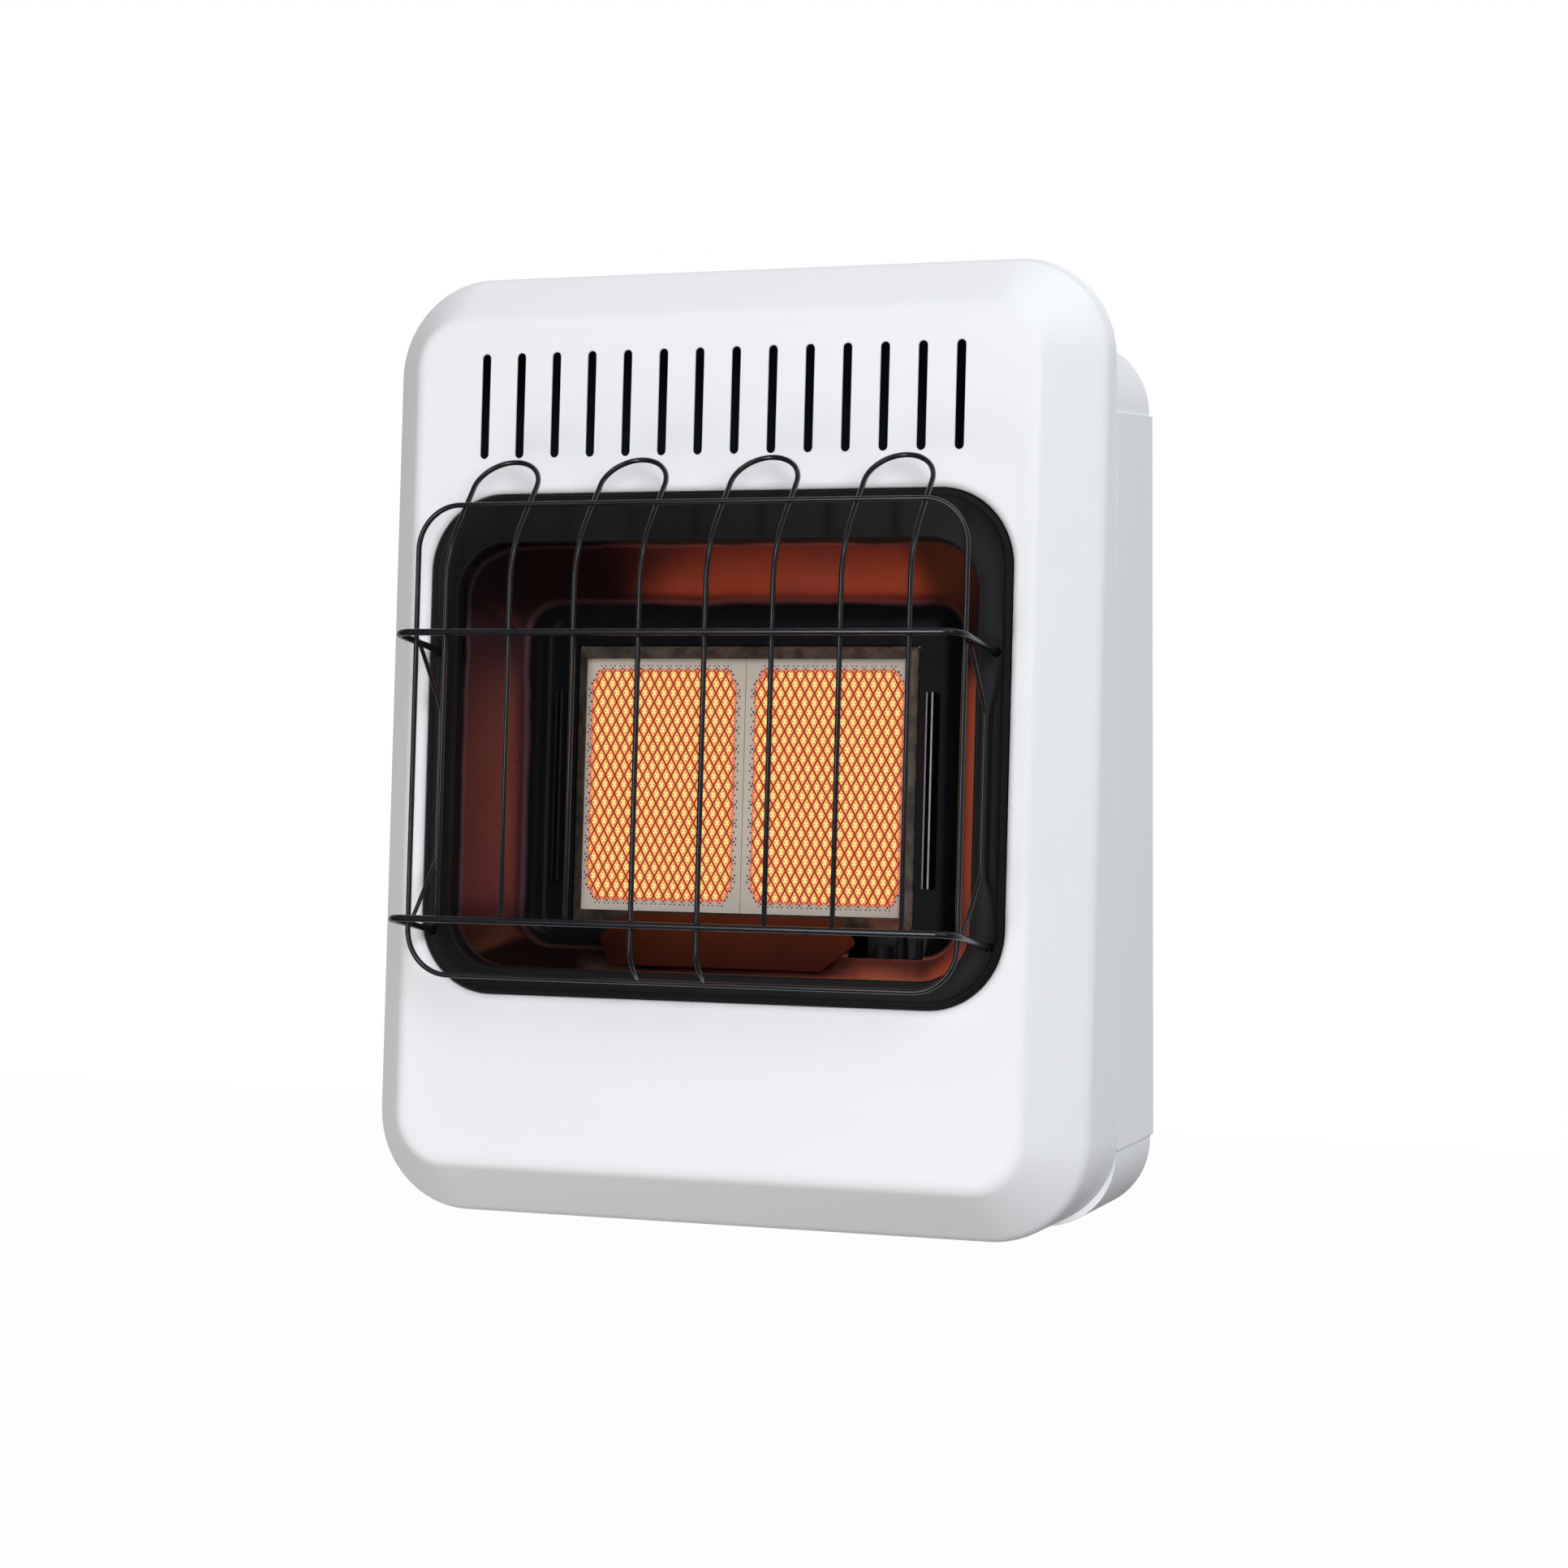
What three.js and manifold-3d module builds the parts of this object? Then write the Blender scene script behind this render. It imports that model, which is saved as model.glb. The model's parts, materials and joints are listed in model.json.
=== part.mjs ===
// Vent-free radiant heater for a wall, in millimetres, +Z up.
// The origin is the middle of the wall bracket's back face: the wall is the plane y = 0,
// the room is towards -y, and +x is to the right of someone who faces the heater.
// The cover, the trim ring, the reflector, the burner and the guard lean back by one angle,
// so they are made in a tilted group: x as above, y = depth behind the cover's face,
// z = height along that face.

import * as THREE from 'three';
import * as BufferGeometryUtils from 'three/addons/utils/BufferGeometryUtils.js';
import Module from 'manifold-3d';

const wasm = await Module();
wasm.setup();

// Clearances that pieces share
const seat = 0.3;              // gap between two pieces that touch
const overrun = 2;             // how far a cutting body runs past the face it cuts
const lap = 6;                 // how far one sheet reaches past the edge of another

// Case: the flat white box on the wall
const caseHalf = 188.6;        // outer half width over the side panels
const caseTop = 63.7;          // height of the case's top sheet
const caseBottom = 368.3;      // how far its bottom sheet lies below the origin
const caseCorner = 38;         // outer radius of its four long corners
const caseDepth = 59.1;
const sheet = 1;               // thickness of the steel sheets
const panelTopGap = 38.2;      // from the case's top down to the flat side panels
const panelBottomGap = 39;     // and from its bottom up to them
const rearReturn = 9;          // turned-in rear edge of each side panel
const ventPitch = 74;          // vents in the top and bottom sheets
const ventLength = 62;
const ventWidth = 9.4;
const topVentCount = 2;
const topVentShift = 70;       // from the igniter to the nearest vent
const bottomVentCount = 3;
const bottomVentShift = 90;    // from the gas inlet to the nearest vent
const louvreCount = 5;         // columns, and rows, in the rear panel
const louvreLength = 35;
const louvreWidth = 4.7;
const louvrePitch = 47.2;
const louvreRowPitch = 9.4;
const louvreRise = 96.3;       // from the case's bottom up to the first row

// Wall bracket
const bracketWidth = 210;
const bracketHeight = 44;
const bracketSheet = 2;
const hookWidth = 22;
const hookSpacing = 150;
const hookRise = 9;
const bracketHoleInset = 11;

// Cover: the drawn white front
const faceLean = 5.13 * Math.PI / 180;   // how far the face leans back
const coverDepth = 47.8;       // from the case's front to the face, at the origin's height
const faceHalf = 162;          // flat face, out to the soft crease
const faceTop = 76.6;
const faceBottom = 341.1;
const faceCorner = 23;
const creaseWidth = 3;         // width of the soft crease
const creaseShares = [0.18, 0.8];        // how far it has fallen at its middle and its end
const bevelWidth = 20.2;       // sloping band round the face, seen from the front
const bevelDepth = 26.5;
const edgeWidth = 3.4;         // rounded edge between the band and the side wall
const edgeDepth = 7;
const edgeShares = [0.7, 0.45, 0.98];    // its middle, out and back, and its end
const wallShares = [0.5, 0.8, 0.6, 0.7, 0.8, 0.3];   // how the inner skin follows at each ring
const coverTop = 100;          // rear rim of the cover
const coverBottom = 369;
const coverCorner = 48;
const slotCount = 14;
const slotPitch = 19.25;
const slotWidth = 4.7;
const slotTop = 60.1;
const slotLength = 52.3;

// Opening in the cover, and the black trim ring in it
const openHalf = 153;
const openTop = 10;            // below the origin, along the face
const openBottom = 257.5;
const openCorner = 38;
const lipRadius = 4;           // rolled edge of the opening
const lipDepth = 6;
const beadWidth = 1.4;         // raised bead just inside the trim ring's edge
const beadRise = 0.9;
const beadShares = [[0.25, 0], [1, 0.8], [1.7, 1], [2.4, 0.7], [3, 0.4]];   // inwards, up
const trimRise = 4.9;          // how far the ring stands out from its hidden edge
const trimTilt = 2.2;          // and how much further its inner edge stands out
const trimEdgeShares = [[1, 1], [0.3, 0.8]];
const windowHalf = 136.5;      // inner edge of the trim ring
const windowTop = 34.2;
const windowBottom = 244;
const windowCorner = 26;
const trimReturn = 3.2;        // depth of its turned-in inner edge
const trimSheet = 0.9;

// Reflector pan
const floorMargin = 23.3;      // floor beside the burner frame
const floorMarginTop = 18.5;
const floorMarginBottom = 10.8;
const floorCorner = 16;
const floorDepth = 46;
const floorBendShares = [[0.12, 0.25], [-0.12, 0.06], [-0.4, 0]];   // outwards, forward
const panSheet = 0.8;
const panFlange = 5;
const pilotGapLeft = 17;       // the pilot's cut-out, to the left and right of the pilot
const pilotGapRight = 22;
const pilotGapReach = 16;      // how far the pilot's cut-out reaches towards the room

// Burner
const burnerMiddle = 151.6;    // below the origin, along the face
const tileWidth = 88.3;
const tileHeight = 132;
const tileThick = 13;
const tileSeam = 0.5;
const tileDepth = 46.3;        // front face of the ceramic tiles
const lipOverTile = 2.95;      // how far the burner frame covers the tiles, at the sides
const lipOverTileTop = 3;      // and at their top and bottom
const frameSlope = 5.7;        // width of its sloping face
const frameDrop = 3;           // how far the slope falls back
const frameTopSlope = 6.6;
const frameSkirt = 20;
const frameSheet = 1;
const notchSize = 3.4;         // open mitre notch in each corner
const gasketThick = 2;
const gasketWidth = 7;
const boxDepth = 33;

// Guard wires
const wire = 2.6;              // loop and hoops
const railWire = 3.4;
const sideWire = 2.2;
const loopHalf = 142.5;
const loopTop = 18.8;
const loopBottom = 248.2;
const loopCorner = 22;
const loopStand = 33;          // in front of the cover's face
const hoopStand = 46.4;
const hoopPitch = 34.2;         // between neighbouring legs
const hoopCount = 4;
const hoopBend = 42;           // height where a leg turns back, below the origin
const hoopTopRise = 4.4;       // top of the hoops, above the origin
const hoopTopStand = 10;
const hoopBendRadius = 11;
const railUpper = 82.2;
const railLower = 221;
const railHoleHalf = 146.2;    // holes of the rail ends in the trim ring
const railDrop = 6;            // how far a rail end falls on its way back
const railBend = 9;
const railHoleClearance = 0.5;
const railEnd = 13;            // how far a rail end reaches behind the trim ring
const legBottomBend = 238;     // where the two long legs turn back
const sideMiddleStand = 4;     // side bow at its middle, in front of the face
const sideSlant = 31;          // height of each sloping end of a side bow

// Lower deflector under the tiles
const deflectorTopHalf = 57;
const deflectorWideHalf = 68.5;
const deflectorLowHalf = 56;
const deflectorStand = 5;      // its top edge, in front of the reflector's floor
const deflectorReach = 29;     // how much further its lower edge stands out
const deflectorHeight = 25.5;
const deflectorLap = 5.7;      // how far its top edge covers the burner frame
const deflectorBendShare = 0.46;
const deflectorFootDrop = 6.5; // its two feet, below its top edge
const deflectorFootWidth = 12;
const deflectorFootSpacing = 90;
const sideFallShare = 0.4;     // how far along a rail's fall the side bows meet it

// Chassis plate, brackets and heat shield
const chassisInset = 1.3;      // inside the cover's rear rim
const chassisHoleMargin = 32.7;    // beside the burner frame
const chassisHoleTop = 52;
const chassisHoleBottom = 292;
const burnerBracketWidth = 14;
const burnerBracketTop = 140;
const burnerBracketBottom = 205;
const shieldHalf = 118;
const shieldTop = 60;
const shieldBottom = 250;
const shieldGap = 1.8;         // behind the burner box

// Bright strips on both sides of the burner
const stripWidth = 3.4;
const stripDepth = 5;
const stripTop = 104.8;
const stripBottom = 200.2;
const stripGap = 7.9;          // from the burner frame to the middle of a strip

// Gas train and controls
const controlShift = 0.85;     // the controls, from the middle of the case's depth to the wall
const valveShift = 50;         // from the supply pipe to the valve
const valveTop = 44;
const valveHeight = 36;
const valveWidth = 42;
const valveThick = 32;
const bonnetRadius = 12;
const collarRadius = 7;
const collarHeight = 2.4;
const stemRadius = 3.2;
const knobRadius = 17.5;
const knobHeight = 17;
const knobTravel = 4;
const knobWall = 2.2;
const knobSocketDepth = 9;
const fluteCount = 12;
const knobShares = { step: 0.12, grip: 0.86, top: 0.97, dome: 0.88, flute: 0.1, flutePlace: 1.02,
  pointerStart: 0.25, pointerEnd: 0.8 };
const dialRadius = 22;
const dialSheet = 1;
const springWire = 1;
const springTurns = 5;
const igniterShift = 55;       // from the valve to the igniter
const igniterRadius = 9;
const igniterBody = 42;
const igniterNut = 12.5;
const igniterNutHeight = 4;
const buttonRadius = 6.2;
const buttonRise = 8;
const buttonTravel = 5;
const buttonChamfer = 1;
const supplySideGap = 22.6;    // from the side panel to the supply pipe's middle
const supplyY = 23;
const supplyTube = 9.5;
const unionShare = 0.9;        // radius of a pipe union over its tube's diameter
const elbowShare = 0.8;
const burnerTube = 6.4;
const pilotTube = 3.2;
const leadWire = 2.4;
const inletShift = 37;         // from the supply pipe to the inlet
const regulatorRadius = 17;
const regulatorHeight = 26;
const regulatorRise = 30.3;    // above the case's bottom
const capRadius = 11;
const capHeight = 8;
const capShares = [0.9, 0.8];
const drumTopShare = 0.7;
const inletRadius = 10.5;
const inletFlange = 14;
const inletBore = 5;
const venturiRadius = 12.5;
const venturiWall = 1.1;
const injectorSideGap = 17.6;  // from the side panel to the injector's end
const venturiHeight = 114;     // below the origin, along the face
const venturiDepth = 81;
const airWindow = 14;
const airWindowShares = [0.52, 0.76];    // along the mixer tube
const injectorRadius = 5;
const injectorLength = 22;
const injectorHead = 8;
const bossShare = 0.7;
const pilotInset = 14.3;       // from the burner frame's side
const pilotSpacing = 9;
const pilotTipDrop = 6.8;      // below the burner frame
const pilotHeight = 34;
const pilotDepth = 43;
const pilotRadius = 3.8;
const probeRadius = 2.4;
const electrodeRadius = 3;
const pinRadius = 0.8;
const tipShares = { jet: 0.5, probe: 0.6, pin: 0.6 };
const bracketFootShare = 0.8;
const leadPitch = 4.8;         // between the thin lines of the pilot
const leadShares = { across: 0.6, from: 1.5, back: 0.8 };
const screwRadius = 3.6;
const screwHead = 1.8;
const screwShank = 1.6;
const screwShares = [0.4, 0.6];          // rim height, and width of the domed top

// Steps of round shapes
const cornerSteps = 6;
const roundSides = 24;
const smallSides = 12;
const wireSides = 8;
const nutSides = 6;
const springSides = 5;
const weld = 1e-4;             // points closer than this are one point
const bendRunShare = 0.48;     // most of a straight run that one bend may take

// Colours and finishes
const finish = (color, roughness, metalness) =>
  new THREE.MeshStandardMaterial({ color, roughness, metalness });
const whitePaint = finish(0xf4f4f6, 0.28, 0.0);
const blackPaint = finish(0x1a1a1b, 0.5, 0.1);
const blackWire = finish(0x1c1c20, 0.35, 0.3);
const heatedSteel = finish(0x4a2620, 0.5, 0.6);
const burnerSteel = finish(0x7a7268, 0.38, 0.9);
const ceramic = finish(0xf59a4c, 0.8, 0.0);
const fibre = finish(0xcfc8ba, 0.9, 0.0);
const zincSteel = finish(0xb4b8bc, 0.4, 0.9);
const brass = finish(0xc9a24a, 0.3, 1.0);
const aluminium = finish(0xc9ccd0, 0.35, 1.0);
const blackPlastic = finish(0x202022, 0.45, 0.0);
const whiteCeramic = finish(0xe9e4da, 0.5, 0.0);
const springSteel = finish(0x9b9ea2, 0.3, 1.0);

// Solids and booleans

const vec = (x, y, z) => new THREE.Vector3(x, y, z);

function toSolid(geometry) {
  const bare = geometry.index ? geometry.toNonIndexed() : geometry.clone();
  bare.deleteAttribute('normal');
  bare.deleteAttribute('uv');
  const merged = BufferGeometryUtils.mergeVertices(bare, weld);
  return new wasm.Manifold(new wasm.Mesh({
    numProp: 3,
    vertProperties: new Float32Array(merged.attributes.position.array),
    triVerts: new Uint32Array(merged.index.array),
  }));
}

function toGeometry(solid) {
  const mesh = solid.getMesh();
  const geometry = new THREE.BufferGeometry();
  const places = mesh.numProp === 3 ? mesh.vertProperties : mesh.vertProperties.slice();
  geometry.setAttribute('position', new THREE.BufferAttribute(new Float32Array(places), 3));
  geometry.setIndex(Array.from(mesh.triVerts));
  return geometry;
}

function cut(body, ...tools) {
  const result = tools.reduce((solid, tool) => solid.subtract(toSolid(tool)), toSolid(body));
  return toGeometry(result);
}

function join(...bodies) {
  const result = bodies.slice(1).reduce((solid, body) => solid.add(toSolid(body)), toSolid(bodies[0]));
  return toGeometry(result);
}

// A box given by its lowest and highest corner
function block(x0, x1, y0, y1, z0, z1) {
  const geometry = new THREE.BoxGeometry(x1 - x0, y1 - y0, z1 - z0);
  return geometry.translate((x0 + x1) / 2, (y0 + y1) / 2, (z0 + z1) / 2);
}

// A round body: a profile of [radius, height] points turned about the z axis
function turned(profile, sides = roundSides) {
  const points = profile.map(([radius, height]) => new THREE.Vector2(radius, height));
  return new THREE.LatheGeometry(points, sides).rotateX(Math.PI / 2);
}

function cylinder(radius, low, high, sides = roundSides) {
  return turned([[0, low], [radius, low], [radius, high], [0, high]], sides);
}

function tube(inner, outer, low, high, sides = roundSides) {
  return turned([[inner, low], [outer, low], [outer, high], [inner, high], [inner, low]], sides);
}

// Points of a rounded rectangle in x and z, the same number for every size
function roundedOutline(half, top, bottom, corner) {
  const centres = [[half - corner, top - corner], [corner - half, top - corner],
    [corner - half, bottom + corner], [half - corner, bottom + corner]];
  return centres.flatMap(([x, z], quarter) =>
    Array.from({ length: cornerSteps + 1 }, (_, step) => {
      const angle = (quarter + step / cornerSteps) * Math.PI / 2;
      return [x + corner * Math.cos(angle), z + corner * Math.sin(angle)];
    }));
}

const ringAt = (outline, y) => outline.map(([x, z]) => vec(x, y, z));

// A closed band: rings of equally many points, each joined to the next and the last to the first
function ringBand(rings) {
  const count = rings[0].length;
  const places = rings.flat().flatMap(point => point.toArray());
  const corner = (ring, index) => (ring % rings.length) * count + (index % count);
  const faces = [];
  rings.forEach((_, ring) => rings[0].forEach((__, index) => {
    const a = corner(ring, index), b = corner(ring, index + 1);
    const c = corner(ring + 1, index + 1), d = corner(ring + 1, index);
    faces.push(a, b, c, a, c, d);
  }));
  return facingOut(places, faces);
}

function facingOut(places, faces) {
  const point = index => vec(...places.slice(3 * index, 3 * index + 3));
  let volume = 0;
  for (let face = 0; face < faces.length; face += 3) {
    const [a, b, c] = [0, 1, 2].map(corner => point(faces[face + corner]));
    volume += a.dot(b.cross(c));
  }
  const geometry = new THREE.BufferGeometry();
  geometry.setAttribute('position', new THREE.Float32BufferAttribute(places, 3));
  geometry.setIndex(volume > 0 ? faces : faces.slice().reverse());
  return geometry;
}

// A flat plate in x and z, from its outline points and holes, between two depths
function flatPlate(outline, holes, front, back) {
  const flat = points => points.map(([x, z]) => new THREE.Vector2(x, z));
  const shape = new THREE.Shape(flat(outline));
  shape.holes = holes.map(hole => new THREE.Path(flat(hole).reverse()));
  const geometry = new THREE.ExtrudeGeometry(shape, { depth: back - front, bevelEnabled: false });
  return geometry.rotateX(Math.PI / 2).translate(0, back, 0);
}

// The same, for a plate in x and y between two heights
function levelPlate(outline, low, high) {
  const shape = new THREE.Shape(outline.map(([x, y]) => new THREE.Vector2(x, y)));
  return new THREE.ExtrudeGeometry(shape, { depth: high - low, bevelEnabled: false })
    .translate(0, 0, low);
}

// A stadium outline: a slot with round ends
function slotOutline(x, top, length, width) {
  const radius = width / 2;
  return [[top - radius, 0], [top - length + radius, 1]].flatMap(([z, half]) =>
    Array.from({ length: cornerSteps + 1 }, (_, step) => {
      const angle = (half + step / cornerSteps) * Math.PI;
      return [x + radius * Math.cos(angle), z + radius * Math.sin(angle)];
    }));
}

// Bent wire: straight runs between corners, each corner rounded to a radius
class BentWire extends THREE.Curve {
  constructor(corners, bend, steps = 4) {
    super();
    this.places = corners.flatMap((corner, index) => {
      if (index === 0 || index === corners.length - 1) return [corner];
      const before = corners[index - 1].clone().sub(corner);
      const after = corners[index + 1].clone().sub(corner);
      const run = Math.min(before.length(), after.length()) * bendRunShare;
      const [inward, outward] = [before.normalize(), after.normalize()];
      const half = inward.angleTo(outward) / 2;
      const reach = Math.min(bend / Math.tan(half), run);
      const radius = reach * Math.tan(half);
      const axis = inward.clone().add(outward).normalize();
      const centre = corner.clone().addScaledVector(axis, radius / Math.sin(half));
      const start = corner.clone().addScaledVector(inward, reach).sub(centre);
      const end = corner.clone().addScaledVector(outward, reach).sub(centre);
      const turn = start.clone().cross(end).normalize();
      return Array.from({ length: steps + 1 }, (_, step) =>
        start.clone().applyAxisAngle(turn, (Math.PI - 2 * half) * step / steps).add(centre));
    });
  }

  getPoint(t) {
    return this.places[Math.round(t * (this.places.length - 1))].clone();
  }

  getPointAt(u) {
    return this.getPoint(u);
  }

  getTangentAt(u) {
    const index = Math.round(u * (this.places.length - 1));
    const here = this.places[index];
    const before = this.places[index - 1] ?? here;
    const after = this.places[index + 1] ?? here;
    const towards = before === here ? vec(0, 0, 0) : here.clone().sub(before).normalize();
    const away = after === here ? vec(0, 0, 0) : after.clone().sub(here).normalize();
    return towards.add(away).normalize();
  }
}

function wireAlong(path, diameter, sides = wireSides) {
  const section = Array.from({ length: sides }, (_, side) => {
    const angle = (side + 0.5) * 2 * Math.PI / sides;
    return new THREE.Vector2(Math.cos(angle) * diameter / 2, Math.sin(angle) * diameter / 2);
  });
  return new THREE.ExtrudeGeometry(new THREE.Shape(section),
    { steps: path.places.length - 1, extrudePath: path, bevelEnabled: false });
}

const bentWire = (corners, diameter, bend, sides) =>
  wireAlong(new BentWire(corners, bend), diameter, sides);

// Groups

const faceDepth = bracketSheet + seat + caseDepth + coverDepth;
const heater = new THREE.Group();
const front = new THREE.Group();
front.position.set(0, -faceDepth, 0);
front.rotation.x = -faceLean;
heater.add(front);

function piece(name, geometry, material, group = heater) {
  const mesh = new THREE.Mesh(geometry, material);
  mesh.name = name;
  group.add(mesh);
  return mesh;
}

// A point of the room, written in the tilted group's own x, depth and height
function toFace(x, y, z) {
  const [lean, rise] = [Math.cos(faceLean), Math.sin(faceLean)];
  return vec(x, (y + faceDepth) * lean - z * rise, (y + faceDepth) * rise + z * lean);
}

// And the other way round
function toRoom(x, depth, height) {
  const [lean, rise] = [Math.cos(faceLean), Math.sin(faceLean)];
  return vec(x, depth * lean + height * rise - faceDepth, height * lean - depth * rise);
}

// Places that several pieces share
const caseBack = -(bracketSheet + seat);
const caseFront = caseBack - caseDepth;
const controlY = caseDepth / 2 - caseBack - controlShift;
const seamY = caseFront - seat;
const wrapHalf = caseHalf - sheet - seat;
const wrapBack = caseBack - sheet - seat;
const panelInner = caseHalf - sheet;
const panelTop = caseTop - panelTopGap;
const panelBottom = caseBottom - panelBottomGap;
const rearBack = wrapBack;
const rearFront = rearBack - sheet;
const supplyX = panelInner - supplySideGap;
const inletX = supplyX - inletShift;
const valveX = supplyX - valveShift;
const igniterX = valveX - igniterShift;
const regulatorBottom = caseBottom - regulatorRise;
const tilesHalf = tileSeam / 2 + tileWidth;
const frameLipHalf = tilesHalf - lipOverTile;
const frameLipHigh = tileHeight / 2 - lipOverTileTop;
const frameHalf = frameLipHalf + frameSlope;
const frameHigh = frameLipHigh + frameTopSlope;
const frameBottom = burnerMiddle + frameHigh;
const floorHalf = frameHalf + floorMargin;
const floorTop = burnerMiddle - frameHigh - floorMarginTop;
const floorBottom = frameBottom + floorMarginBottom;
const pilotX = frameHalf - pilotInset;
const chassisHoleHalf = frameHalf + chassisHoleMargin;
const pilotTip = frameBottom + pilotTipDrop;
const pilotFoot = pilotTip + pilotHeight;

// Wall bracket: a plate with two hooks that the rear panel hangs on

function wallBracket() {
  const plate = block(-bracketWidth / 2, bracketWidth / 2, -bracketSheet, 0,
    -bracketHeight / 2, bracketHeight / 2);
  const hooks = [-1, 1].flatMap(side => {
    const x = side * hookSpacing / 2;
    const tip = rearFront - seat - bracketSheet;
    return [block(x - hookWidth / 2, x + hookWidth / 2, tip, 0, -bracketSheet / 2, bracketSheet / 2),
      block(x - hookWidth / 2, x + hookWidth / 2, tip, tip + bracketSheet, -bracketSheet / 2, hookRise)];
  });
  const holes = [-1, 1].map(side => cylinder(screwShank + seat, -overrun, bracketSheet + overrun, smallSides)
    .rotateX(Math.PI / 2).translate(side * (bracketWidth / 2 - bracketHoleInset), 0, 0));
  return cut(join(plate, ...hooks), ...holes);
}

// Case

function caseWrap(top, bottom, open) {
  const outer = roundedOutline(wrapHalf, top, bottom, caseCorner - sheet);
  const inner = roundedOutline(wrapHalf - sheet, top - sheet, bottom + sheet, caseCorner - 2 * sheet);
  const ring = ringBand([ringAt(outer, caseFront), ringAt(outer, wrapBack),
    ringAt(inner, wrapBack), ringAt(inner, caseFront)]);
  return cut(ring, open);
}

function ventBlocks(count, place, low, high) {
  return Array.from({ length: count }, (_, index) => {
    const x = place - index * ventPitch;
    return block(x - ventLength / 2, x + ventLength / 2, -controlY - ventWidth / 2, -controlY + ventWidth / 2,
      low, high);
  });
}

function caseTopPiece() {
  const keepAbove = panelTop - lap;
  const wide = caseHalf + overrun;
  const ring = caseWrap(caseTop, -caseBottom,
    block(-wide, wide, caseFront - overrun, caseBack + overrun, -caseBottom - overrun, keepAbove));
  const down = overrun + sheet;
  const holes = [
    cylinder(stemRadius + overrun, -down, down, roundSides).translate(valveX, -controlY, caseTop),
    cylinder(igniterRadius + seat, -down, down, roundSides).translate(igniterX, -controlY, caseTop)];
  const vents = ventBlocks(topVentCount, igniterX - topVentShift, caseTop - down, caseTop + down);
  return cut(ring, ...holes, ...vents);
}

function caseBottomPiece() {
  const keepBelow = -panelBottom + lap;
  const wide = caseHalf + overrun;
  const ring = caseWrap(caseTop, -caseBottom,
    block(-wide, wide, caseFront - overrun, caseBack + overrun, keepBelow, caseTop + overrun));
  const down = overrun + sheet;
  const inletHole = cylinder(inletRadius + seat, -down, down).translate(inletX, -supplyY, -caseBottom);
  const vents = ventBlocks(bottomVentCount, inletX - bottomVentShift, -caseBottom - down, -caseBottom + down);
  return cut(ring, inletHole, ...vents);
}

function sidePanel(side) {
  const [inner, outer] = [panelInner, caseHalf];
  const outline = [[inner, caseFront], [outer, caseFront], [outer, caseBack],
    [outer - rearReturn, caseBack], [outer - rearReturn, caseBack - sheet], [inner, caseBack - sheet]];
  const panel = levelPlate(outline, -panelBottom, panelTop);
  if (side > 0) return panel;
  return toGeometry(toSolid(panel).mirror([1, 0, 0]));
}

function rearPanel() {
  const [front, back] = [rearFront, rearBack];
  const edge = sheet + seat;
  const corner = caseCorner - sheet - edge;
  const outline = roundedOutline(wrapHalf - edge, caseTop - edge, edge - caseBottom, corner);
  const hookSlots = [-1, 1].map(side => {
    const x = side * hookSpacing / 2;
    return block(x - hookWidth / 2 - overrun, x + hookWidth / 2 + overrun, front - overrun, back + overrun,
      -bracketSheet / 2 - hookRise - overrun, bracketSheet / 2 + seat);
  });
  const steps = Array.from({ length: louvreCount }, (_, index) => index);
  const louvres = steps.flatMap(column => steps.map(row => {
    const x = (column - (louvreCount - 1) / 2) * louvrePitch;
    const z = louvreRise - caseBottom - row * louvreRowPitch;
    return block(x - louvreLength / 2, x + louvreLength / 2, front - overrun, back + overrun,
      z, z + louvreWidth);
  }));
  return cut(flatPlate(outline, [], front, back), ...hookSlots, ...louvres);
}

// Chassis plate: closes the case in front and carries the cover and the burner

function chassisPlate() {
  const back = caseFront - seat;
  const front = back - sheet;
  const outline = roundedOutline(caseHalf - chassisInset, coverTop - chassisInset,
    -coverBottom + chassisInset, coverCorner - chassisInset);
  const hole = roundedOutline(chassisHoleHalf, -chassisHoleTop, -chassisHoleBottom, floorCorner);
  return { outline, hole, front, back };
}

// Front cover: one drawn sheet, worked out as rings from the opening out to the rear rim

function faceRing(grow, depth) {
  const outline = roundedOutline(faceHalf + grow, faceTop + grow, -faceBottom - grow, faceCorner + grow);
  return ringAt(outline, depth);
}

function openRing(grow, depth) {
  const outline = roundedOutline(openHalf + grow, -openTop + grow, -openBottom - grow, openCorner + grow);
  return ringAt(outline, depth);
}

function windowRing(grow, depth) {
  const outline = roundedOutline(windowHalf + grow, -windowTop + grow, -windowBottom - grow,
    windowCorner + grow);
  return ringAt(outline, depth);
}

function rimRing(inset) {
  return roundedOutline(caseHalf - inset, coverTop - inset, -coverBottom + inset, coverCorner - inset)
    .map(([x, z]) => toFace(x, seamY, z));
}

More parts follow.
